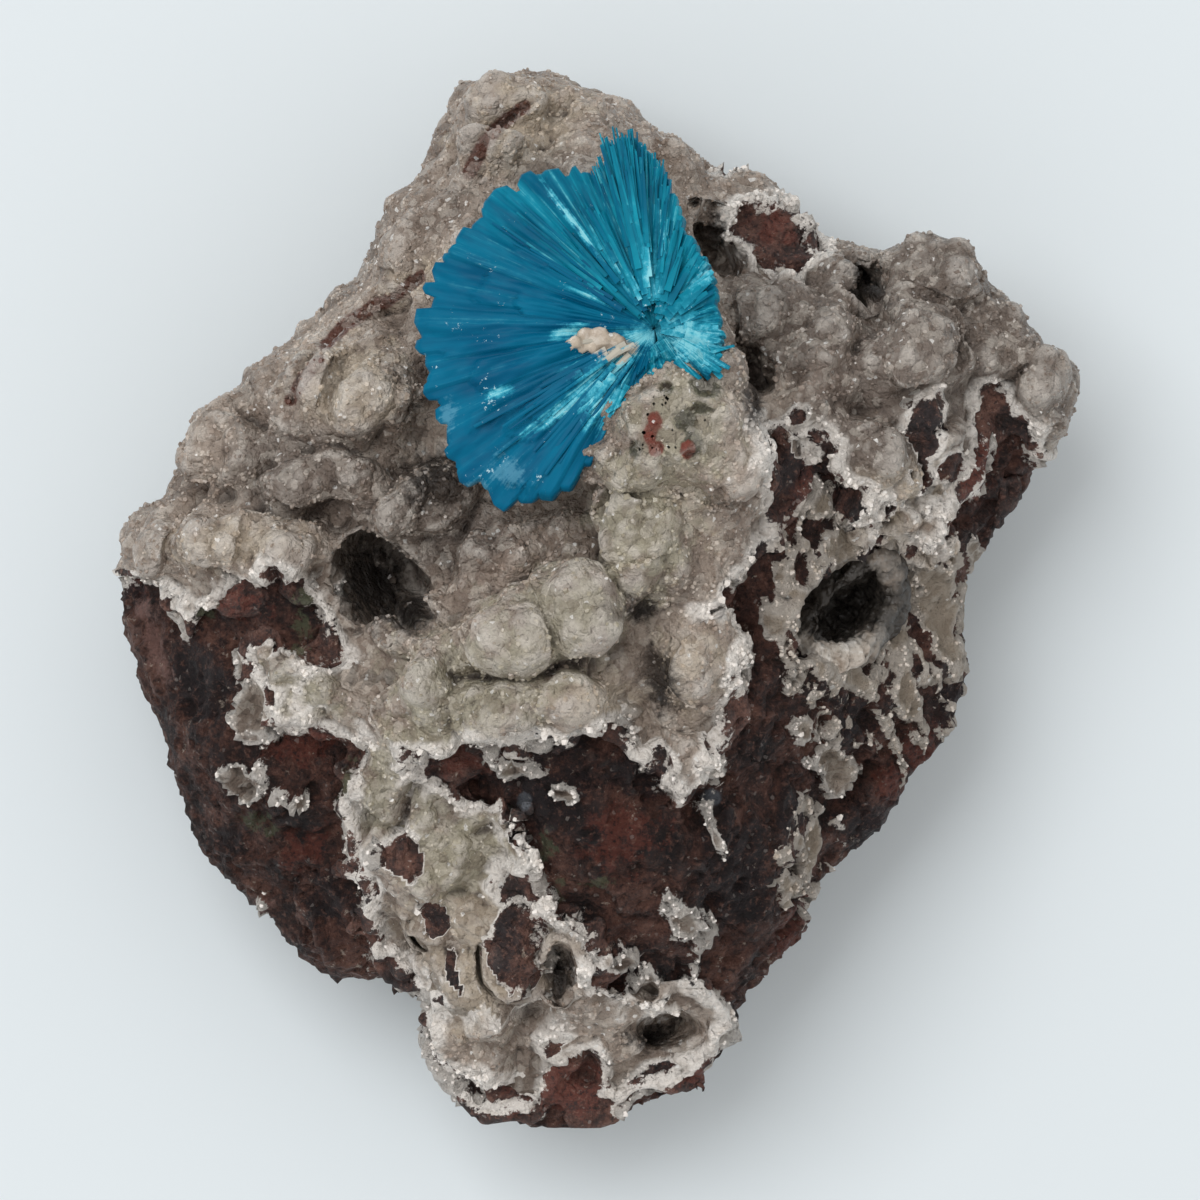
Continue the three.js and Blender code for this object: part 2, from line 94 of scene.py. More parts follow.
def setUpStudio():
    scene = bpy.context.scene
    scene.view_settings.view_transform = "Standard"
    camera = bpy.data.cameras.new("camera")
    camera.lens = studio["lens"]
    cameraObject = bpy.data.objects.new("camera", camera)
    scene.collection.objects.link(cameraObject)
    distance = studio["frameWidth"] * camera.lens / camera.sensor_width
    x, y = photo["middle"]
    cameraObject.location = (x / 1000, y / 1000, studio["focusHeight"] + distance)
    camera.clip_start = 0.01
    camera.clip_end = 10
    scene.camera = cameraObject

    key = bpy.data.lights.new("key", "AREA")
    key.energy = studio["keyPower"]
    key.size = studio["keySize"]
    keyObject = bpy.data.objects.new("key", key)
    keyObject.location = studio["keyFrom"]
    aim = Vector((0, 0, 0.01)) - Vector(studio["keyFrom"])
    keyObject.rotation_euler = aim.to_track_quat("-Z", "Y").to_euler()
    scene.collection.objects.link(keyObject)

    world = bpy.data.worlds.new("world")
    world.use_nodes = True
    background = world.node_tree.nodes["Background"]
    background.inputs["Color"].default_value = (*studio["sky"], 1)
    background.inputs["Strength"].default_value = studio["skyStrength"]
    scene.world = world


def addFloor():
    bm = bmesh.new()
    bmesh.ops.create_grid(bm, x_segments=2, y_segments=2, size=1.5)
    floor = pieceFrom(bm, "floor")
    material = bpy.data.materials.new("floor")
    material.use_nodes = True
    shader = material.node_tree.nodes["Principled BSDF"]
    shader.inputs["Base Color"].default_value = (*studio["floorColour"], 1)
    shader.inputs["Roughness"].default_value = 0.9
    shader.inputs["Specular IOR Level"].default_value = 0.0
    floor.data.materials.append(material)


setUpStudio()
addFloor()
print("studio ready")


# Shader maths

class Amount:
    # a socket that can be used in plain sums
    def __init__(self, look, socket):
        self.look = look
        self.socket = socket

    def sum(self, operation, first, second):
        return self.look.node("ShaderNodeMath", {"operation": operation}, {0: first, 1: second})

    def __add__(self, other):
        return self.sum("ADD", self, other)

    def __radd__(self, other):
        return self.sum("ADD", other, self)

    def __sub__(self, other):
        return self.sum("SUBTRACT", self, other)

    def __rsub__(self, other):
        return self.sum("SUBTRACT", other, self)

    def __mul__(self, other):
        return self.sum("MULTIPLY", self, other)

    def __rmul__(self, other):
        return self.sum("MULTIPLY", other, self)


class Look:
    # a material and the nodes that it is made of
    def __init__(self, name):
        self.material = bpy.data.materials.new(name)
        self.material.use_nodes = True
        self.tree = self.material.node_tree
        self.tree.nodes.clear()
        self.place = self.node("ShaderNodeTexCoord", output="Object")

    def node(self, kind, settings={}, values={}, output=0):
        made = self.tree.nodes.new(kind)
        for name, value in settings.items():
            if name == "stops":
                self.setStops(made.color_ramp, value)
            else:
                setattr(made, name, value)
        for name, value in values.items():
            if isinstance(value, Amount):
                self.tree.links.new(value.socket, made.inputs[name])
            else:
                made.inputs[name].default_value = value
        return Amount(self, made.outputs[output]) if made.outputs else None

    def setStops(self, ramp, stops):
        while len(ramp.elements) < len(stops):
            ramp.elements.new(0.5)
        for element, (position, colour) in zip(ramp.elements, stops):
            element.position = position
            element.color = (*colour, 1)

    def noise(self, size, detail=4.0, roughness=0.55, place=None, output="Fac"):
        # size is in millimetres
        return self.node("ShaderNodeTexNoise", {}, {
            "Vector": place or self.place, "Scale": 1000.0 / size, "Detail": detail,
            "Roughness": roughness}, output)

    def cells(self, size, output="Distance", place=None):
        return self.node("ShaderNodeTexVoronoi", {"feature": "F1"}, {
            "Vector": place or self.place, "Scale": 1000.0 / size}, output)

    def mark(self, name):
        # a value painted on the piece's points
        return self.node("ShaderNodeAttribute", {"attribute_name": name}, output="Fac")

    def step(self, value, low, high):
        return self.node("ShaderNodeMapRange", {"interpolation_type": "SMOOTHSTEP"}, {
            "Value": value, "From Min": low, "From Max": high})

    def ramp(self, value, stops):
        return self.node("ShaderNodeValToRGB", {"stops": stops}, {"Fac": value})

    def mix(self, share, first, second):
        made = self.tree.nodes.new("ShaderNodeMix")
        made.data_type = "RGBA"
        for socket, value in ((made.inputs[0], share), (made.inputs[6], first), (made.inputs[7], second)):
            if isinstance(value, Amount):
                self.tree.links.new(value.socket, socket)
            elif isinstance(value, tuple):
                socket.default_value = (*value, 1)
            else:
                socket.default_value = value
        return Amount(self, made.outputs[2])

    def over(self, colour, value, low, high, share, tint):
        # lays a tint over the colour, from none at low to the whole share at high
        return self.mix(self.step(value, low, high) * share, colour, tint)

    def vector(self, operation, first, second=None, scale=None, output=0):
        values = {0: first}
        if second is not None:
            values[1] = second
        if scale is not None:
            values["Scale"] = scale
        return self.node("ShaderNodeVectorMath", {"operation": operation}, values, output)

    def glints(self, size, tilt):
        # each small crystal's face leans its own way
        lean = self.vector("SUBTRACT", self.cells(size, "Color"), (0.5, 0.5, 0.5))
        lean = self.vector("SCALE", lean, scale=tilt)
        normal = self.node("ShaderNodeNewGeometry", output="Normal")
        return self.vector("NORMALIZE", self.vector("ADD", normal, lean))

    def bump(self, height, distance, normal=None):
        # distance is in millimetres
        values = {"Height": height, "Distance": distance / 1000, "Strength": 1.0}
        if normal is not None:
            values["Normal"] = normal
        return self.node("ShaderNodeBump", {}, values)

    def finish(self, values):
        shader = self.node("ShaderNodeBsdfPrincipled", {}, values)
        self.node("ShaderNodeOutputMaterial", {}, {"Surface": shader})
        return self.material


# Shaping helpers

def meshFromNode(name):
    # a merged copy of a CAD node, in millimetres
    bm = bmesh.new()
    bm.from_mesh(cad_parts[name].data)
    bmesh.ops.scale(bm, vec=(1000, 1000, 1000), verts=bm.verts)
    bmesh.ops.remove_doubles(bm, verts=bm.verts, dist=1e-4)
    return bm


def addBlob(bm, centre, radius, squash=1.0, detail=2):
    turn = Matrix.Translation(centre) @ Matrix.Diagonal((radius, radius, radius * squash, 1))
    bmesh.ops.create_icosphere(bm, subdivisions=detail, radius=1, matrix=turn)


def remeshed(bm, name, voxel):
    # one closed skin around everything in bm
    piece = pieceFrom(bm, name)
    remesh = piece.modifiers.new("skin", "REMESH")
    remesh.mode = "VOXEL"
    remesh.voxel_size = voxel
    remesh.use_smooth_shade = True
    graph = bpy.context.evaluated_depsgraph_get()
    skin = bpy.data.meshes.new_from_object(piece.evaluated_get(graph))
    piece.modifiers.clear()
    piece.data = skin
    skin.name = name
    return piece


def points(piece):
    found = np.empty(len(piece.data.vertices) * 3, np.float32)
    piece.data.vertices.foreach_get("co", found)
    return found.reshape(-1, 3).astype(float)


def normals(piece):
    found = np.empty(len(piece.data.vertices) * 3, np.float32)
    piece.data.vertex_normals.foreach_get("vector", found)
    return found.reshape(-1, 3).astype(float)


def setPoints(piece, where):
    piece.data.vertices.foreach_set("co", where.astype(np.float32).ravel())
    piece.data.update()


def marked(piece, name):
    found = np.empty(len(piece.data.vertices), np.float32)
    piece.data.attributes[name].data.foreach_get("value", found)
    return found


def paint(piece, name, values):
    attribute = piece.data.attributes.new(name, "FLOAT", "POINT")
    attribute.data.foreach_set("value", np.asarray(values, np.float32))


def smoothed(piece, rounds, share=0.5):
    # evens out the steps that the voxels leave
    edges = np.empty(len(piece.data.edges) * 2, np.int64)
    piece.data.edges.foreach_get("vertices", edges)
    a, b = edges.reshape(-1, 2).T
    where = points(piece)
    counts = np.bincount(a, minlength=len(where)) + np.bincount(b, minlength=len(where))
    for _ in range(rounds):
        total = np.empty_like(where)
        for axis in range(3):
            total[:, axis] = (np.bincount(a, where[b, axis], len(where))
                              + np.bincount(b, where[a, axis], len(where)))
        where += share * (total / counts[:, None] - where)
    setPoints(piece, where)


def swell(where, size, seed=0.0, octaves=3):
    # fractal noise at each point, about -1 to 1
    shift = Vector((seed, seed * 0.7, -seed))
    return np.array([noise.fractal(Vector(p) / size + shift, 0.8, 2.1, octaves) for p in where])


def chips(where, size, seed=0.0):
    # flat facets that lean each its own way, as broken rock has
    shift = Vector((seed, -seed, seed * 0.5))
    heights = np.empty(len(where))
    for i, p in enumerate(where):
        at = Vector(p) / size + shift
        near = noise.voronoi(at, distance_metric="DISTANCE", exponent=2.5)[1][0]
        lean = noise.cell_vector(near * 7.3) - Vector((0.5, 0.5, 0.5))
        heights[i] = (at - near).dot(lean)
    return heights


def domes(where, centres, radii, rise, roundness=0.5):
    # height of the rounded nodules that stand at centres
    tree = KDTree(len(where))
    for i, p in enumerate(where):
        tree.insert(p, i)
    tree.balance()
    heights = np.zeros(len(where))
    for centre, radius in zip(centres, radii):
        for _, i, distance in tree.find_range(centre, radius):
            height = rise * radius * max(0.0, 1 - (distance / radius) ** 2) ** roundness
            heights[i] = max(heights[i], height)
    return heights


def unit(values):
    # limits the values to 0 to 1
    return np.clip(values, 0, 1)


def nodules(where, number, radii, rise, roundness, allowed):
    # rounded nodules at points drawn by lot, where they are allowed
    chosen = [i for i in random.sample(range(len(where)), number) if allowed[i]]
    sizes = [random.uniform(*radii) for _ in chosen]
    return domes(where, [where[i] for i in chosen], sizes, rise, roundness)


def spots(where, places):
    # how deep inside the nearest spot each point is: u, v, half width, half height, turn
    depth = np.full(len(where), -1.0)
    for u, v, halfWidth, halfHeight, turn in places:
        x, y = plan(u, v)
        c, s = math.cos(math.radians(turn)), math.sin(math.radians(turn))
        dx = (where[:, 0] - x) * photo["pixelsPerMm"]
        dy = (where[:, 1] - y) * photo["pixelsPerMm"]
        along = (dx * c + dy * s) / halfWidth
        across = (dy * c - dx * s) / halfHeight
        depth = np.maximum(depth, 1 - np.hypot(along, across))
    return depth


def lineDistance(where, line):
    # plan distance to a line of picture places, in millimetres
    corners = [plan(u, v) for u, v in line]
    nearest = np.full(len(where), 1e9)
    for (ax, ay), (bx, by) in zip(corners, corners[1:]):
        dx, dy = bx - ax, by - ay
        share = ((where[:, 0] - ax) * dx + (where[:, 1] - ay) * dy) / (dx * dx + dy * dy)
        share = unit(share)
        away = np.hypot(where[:, 0] - ax - share * dx, where[:, 1] - ay - share * dy)
        nearest = np.minimum(nearest, away)
    return nearest


def surfaceTree(piece):
    return BVHTree.FromPolygons(
        [v.co for v in piece.data.vertices], [p.vertices for p in piece.data.polygons])


def dropOnto(tree, x, y):
    # where a plumb line from above meets the surface
    return tree.ray_cast(Vector((x, y, 60)), Vector((0, 0, -1)))[:2]


def taperedCrystal(tip, lying=False):
    # a five-sided crystal, a unit long: it stands on Z, or lies along X from the origin
    bm = bmesh.new()
    bmesh.ops.create_cone(bm, cap_ends=True, segments=5, radius1=1.0, radius2=tip, depth=1.0)
    if lying:
        bmesh.ops.rotate(bm, verts=bm.verts, matrix=Matrix.Rotation(math.pi / 2, 3, "Y"))
        bmesh.ops.translate(bm, verts=bm.verts, vec=(0.5, 0, 0))
    bmesh.ops.triangulate(bm, faces=bm.faces)
    corners = np.array([v.co[:] for v in bm.verts])
    faces = np.array([[v.index for v in f.verts] for f in bm.faces])
    bm.free()
    return corners, faces


def joinCopies(name, copies, faces):
    # copies is one array of corners for each crystal
    count = len(copies[0])
    allFaces = np.concatenate([faces + i * count for i in range(len(copies))])
    mesh = bpy.data.meshes.new(name)
    mesh.from_pydata(np.concatenate(copies).tolist(), [], allFaces.tolist())
    mesh.update()
    return addPiece(name, mesh)


def finishPiece(piece, material, slot, *nodes, smooth=True):
    piece.data.transform(Matrix.Scale(0.001, 4))
    piece.data.materials.clear()
    piece.data.materials.append(material)
    piece.data.polygons.foreach_set("use_smooth", [smooth] * len(piece.data.polygons))
    piece.data.update()
    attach(piece, "root")
    if nodes:
        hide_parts(*nodes)
    print(piece.name, len(piece.data.polygons), "faces")


# Where the crust ends and bare rock shows

ground = {
    "edge": ((1050, 462), (1029, 454), (1018, 419), (1000, 402), (990, 440), (986, 480), (950, 515),
             (946, 560), (915, 546), (885, 510), (870, 555), (840, 530), (850, 499), (832, 470),
             (826, 432), (800, 448), (765, 426), (760, 440), (778, 480), (774, 539), (741, 570),
             (706, 605), (733, 640), (742, 694), (722, 741), (706, 786), (680, 802), (654, 765),
             (626, 755), (618, 725), (550, 738), (480, 742), (418, 749), (416, 781), (459, 792),
             (510, 813), (539, 866), (499, 885), (546, 901), (600, 934), (600, 986), (650, 1003),
             (701, 986), (730, 1010), (715, 1054), (690, 1069), (640, 1090), (613, 1110), (590, 1066),
             (560, 1080), (539, 1112), (499, 1106), (450, 1067), (437, 1032), (430, 994), (370, 958),
             (365, 901), (346, 850), (346, 800), (358, 750), (299, 722), (262, 728), (267, 694),
             (240, 666), (250, 640), (299, 666), (334, 654), (322, 600), (285, 578), (214, 592),
             (195, 626), (165, 600), (150, 578)),
    "beyond": ((60, 560), (60, 420), (140, 300), (300, 160), (440, 20), (640, 0), (800, 60), (980, 150),
               (1140, 300), (1160, 440)),
    # crust that is left on the bare side: u, v, half width, half height, turn
    "crusted": ((800, 600, 24, 34, 30), (850, 545, 34, 26, 0), (905, 520, 26, 34, 20),
                (930, 590, 26, 46, 15), (890, 640, 22, 40, 20), (850, 670, 12, 34, 25),
                (905, 690, 14, 34, 20), (830, 760, 16, 44, 10), (800, 730, 12, 22, 0),
                (945, 640, 12, 34, 10), (770, 620, 14, 30, 30), (745, 655, 10, 20, 0),
                (820, 500, 20, 26, 0), (800, 452, 22, 14, 0), (685, 925, 16, 34, 20),
                (655, 990, 34, 16, 10), (618, 960, 20, 14, 0), (250, 790, 30, 16, -20),
                (265, 660, 26, 24, 30), (255, 710, 22, 22, 0), (230, 560, 40, 16, 10),
                (150, 570, 30, 16, 0), (440, 860, 26, 30, 0), (700, 640, 12, 20, 0),
                (520, 765, 34, 9, -25), (560, 790, 14, 8, -30), (712, 830, 5, 26, 20),
                (680, 1015, 40, 12, 10), (975, 560, 8, 30, 15), (810, 850, 7, 44, -5),
                (500, 830, 26, 18, 0), (480, 880, 20, 14, 30), (240, 775, 8, 8, 0), (300, 800, 10, 6, 20),
                (265, 905, 12, 6, -40)),
    # rock that shows through the crust
    "windows": ((775, 232, 42, 27, -12), (925, 426, 17, 30, -15), (917, 474, 13, 15, 20),
                (997, 425, 13, 24, -10), (1010, 500, 12, 30, -20), (790, 478, 20, 48, -10),
                (800, 415, 10, 10, 0), (435, 925, 20, 24, 20), (452, 977, 14, 32, 22),
                (512, 958, 29, 42, -8), (402, 858, 20, 22, -30), (538, 988, 12, 18, 0),
                (512, 888, 22, 12, 10), (577, 1090, 24, 50, 12), (680, 1085, 36, 16, -15),
                (450, 765, 38, 16, 5), (240, 600, 34, 18, 5), (270, 640, 16, 16, 0), (720, 590, 16, 14, 0),
                (730, 165, 14, 8, 20), (845, 500, 12, 14, 0), (960, 470, 20, 14, 40),
                (495, 1118, 30, 10, 10), (570, 905, 8, 10, 0)),
    "flank": ((880, 620, 150, 200, 15), (800, 860, 40, 90, -10)),
    # thin raised walls of crust between the bare places
    "walls": (((343, 800), (353, 837), (360, 863), (383, 877), (417, 897), (430, 880), (440, 897), (463, 913),
               (473, 933), (490, 913), (493, 880), (497, 853), (517, 843), (530, 860), (537, 880), (550, 900),
               (547, 920), (560, 947)),
              ((427, 843), (433, 853), (430, 880)),
              ((473, 933), (477, 967), (490, 993), (507, 1007), (530, 1003), (550, 987), (557, 960)),
              ((403, 913), (417, 940), (430, 950), (453, 943), (457, 920), (440, 903)),
              ((430, 950), (437, 980), (460, 1010), (473, 1000), (463, 967), (453, 943)),
              ((563, 940), (577, 967), (580, 993), (603, 1010), (630, 1000), (663, 990), (690, 973),
               (693, 953)),
              ((690, 973), (723, 1007), (727, 1033), (703, 1060), (677, 1080), (643, 1093), (617, 1113)),
              ((430, 1007), (433, 1053), (457, 1093), (490, 1113), (530, 1117), (550, 1080), (570, 1053),
               (590, 1040)),
              ((385, 700), (383, 760), (393, 793), (423, 797), (418, 765), (430, 747), (483, 737), (550, 730),
               (618, 722)),
              ((723, 720), (710, 760), (680, 795), (665, 782)),
              ((270, 640), (255, 660), (262, 700), (290, 715), (300, 730)),
              ((808, 664), (835, 662), (858, 654), (882, 640), (894, 604)),
              ((760, 425), (785, 430), (800, 450)), ((900, 445), (912, 470), (905, 500), (930, 512))),
    "ragged": 1.2,  # how far the edge wanders
}


def insideOutline(where, line):
    # even-odd test of each point against an outline in the picture
    corners = [plan(u, v) for u, v in line]
    x, y = where[:, 0], where[:, 1]
    inside = np.zeros(len(where), bool)
    for (ax, ay), (bx, by) in zip(corners, corners[1:] + corners[:1]):
        if ay == by:
            continue
        crosses = (ay > y) != (by > y)
        inside ^= crosses & (x < ax + (y - ay) * (bx - ax) / (by - ay))
    return inside


def bareness(where):
    # above 0 where rock shows, below 0 where crust covers it, in millimetres
    away = lineDistance(where, ground["edge"])
    away = np.where(insideOutline(where, ground["edge"] + ground["beyond"]), away, -away)
    wander = swell(where, 2.3, 3.0, 4)
    bare = ground["ragged"] * wander - away
    turn = math.radians(20)
    across = (where[:, 0] * math.cos(turn) + where[:, 1] * math.sin(turn)) / 0.9
    along = (where[:, 1] * math.cos(turn) - where[:, 0] * math.sin(turn)) / 2.4
    streaks = swell(np.stack([across, along, where[:, 2] * 0.5], axis=1), 1.0, 6.0, 4)
    flank = unit(spots(where, ground["flank"]) * 3)
    mosaic = (streaks + 0.12) * 2.6
    bare = np.where(away < 0, np.minimum(bare, mosaic + (1 - flank) * 3), bare)
    wall = np.min([lineDistance(where, line) for line in ground["walls"]], axis=0)
    bare = np.minimum(bare, 1.5 * (wall - 0.42) + 0.5 * wander)
    crusted = spots(where, ground["crusted"])
    bare = np.minimum(bare, -crusted * 2.4 + wander * 2.2)
    shown = spots(where, ground["windows"])
    bare = np.where(wall > 0.5, np.maximum(bare, shown * 2.4 + wander * 1.1), bare)
    return np.clip(bare, -3, 3)


def lip(bare):
    # the crust stands up along its broken edges
    return 0.5 * np.exp(-((bare + 0.42) / 0.28) ** 2)


def hollowness(piece, rounds):
    # how far each point lies below its surroundings
    where, facing = points(piece), normals(piece)
    smoothed(piece, rounds)
    hollow = ((points(piece) - where) * facing).sum(1)
    setPoints(piece, where)
    return hollow


def settle(piece, where, margin=0.05):
    # sets the points, none of them past the CAD model's box
    low = np.array(cadLow) * 1000 + margin
    high = np.array(cadHigh) * 1000 - margin
    low[2] = 0.0
    np.clip(where, low, high, out=where)
    setPoints(piece, where)


# Measures, places and colours of rock and crust

basalt = {
    "voxel": 0.34,
    "chips": ((5.5, 1.3), (2.2, 0.75), (0.95, 0.55)),  # size and height of the broken facets
    "roughness": ((2.6, 0.25), (0.9, 0.10)),
    "pores": 420,
    "poreRadii": (0.3, 0.4, 0.45, 0.6, 0.8),
    "poreDepth": 0.9,
    "grains": 9000,  # of the crust that is left on the rock
    "grainRadii": (0.35, 0.75),
    "black": ((200, 690, 38, 60, 0), (330, 900, 34, 28, 10), (552, 792, 42, 46, 0), (740, 868, 42, 62, 10),
              (938, 428, 18, 24, 30), (850, 715, 22, 30, 20), (640, 770, 30, 24, 0), (560, 745, 30, 16, 0),
              (705, 760, 24, 18, 0), (790, 470, 16, 34, -15), (505, 950, 18, 34, -10), (440, 920, 14, 16, 0),
              (620, 955, 26, 18, -10), (128, 600, 14, 22, 0), (230, 840, 20, 20, 0), (455, 978, 14, 20, 0),
              (960, 700, 24, 40, -20), (880, 830, 50, 40, 0), (790, 810, 20, 30, 0)),
    "brick": ((620, 830, 52, 42, 0), (300, 848, 40, 24, 20), (925, 745, 26, 46, -30),
              (775, 225, 40, 26, -10), (560, 1090, 60, 34, 0), (245, 600, 42, 22, 0),
              (980, 470, 20, 46, -20), (460, 762, 34, 18, 0), (800, 480, 14, 30, -20),
              (890, 790, 30, 40, -30), (790, 940, 20, 50, -20), (900, 575, 16, 10, 0),
              (130, 590, 20, 24, 0), (300, 740, 50, 30, 0), (700, 1080, 40, 20, 0)),
    "green": ((315, 600, 26, 16, 20), (310, 628, 16, 12, 0), (205, 605, 12, 16, 0), (250, 820, 22, 12, 0),
              (270, 832, 12, 12, 0), (545, 855, 16, 9, 0), (560, 885, 8, 16, 0), (600, 882, 18, 7, 0),
              (350, 785, 12, 30, 0), (300, 650, 16, 10, 0), (545, 840, 10, 14, 0)),
    "slate": ((710, 797, 15, 12, 0), (525, 800, 10, 12, 0)),
    "rosy": ((155, 650, 14, 50, 8), (808, 890, 10, 60, -5), (262, 905, 14, 14, 0), (140, 610, 20, 14, 0)),
    # mark, how far its edge wanders, low and high end of its fade, share, colour
    "tints": (("brick", 1.0, 0.1, 0.7, 0.8, (0.150, 0.040, 0.026)),
              ("black", 1.0, -0.1, 0.5, 0.85, (0.018, 0.012, 0.014))),
    "stains": (("green", 1.2, 0.25, 0.7, 0.7, (0.115, 0.130, 0.075)),
               ("slate", 0.2, 0.1, 0.4, 1.0, (0.12, 0.13, 0.15)),
               ("rosy", 0.8, 0.1, 0.7, 0.7, (0.30, 0.17, 0.145))),
}

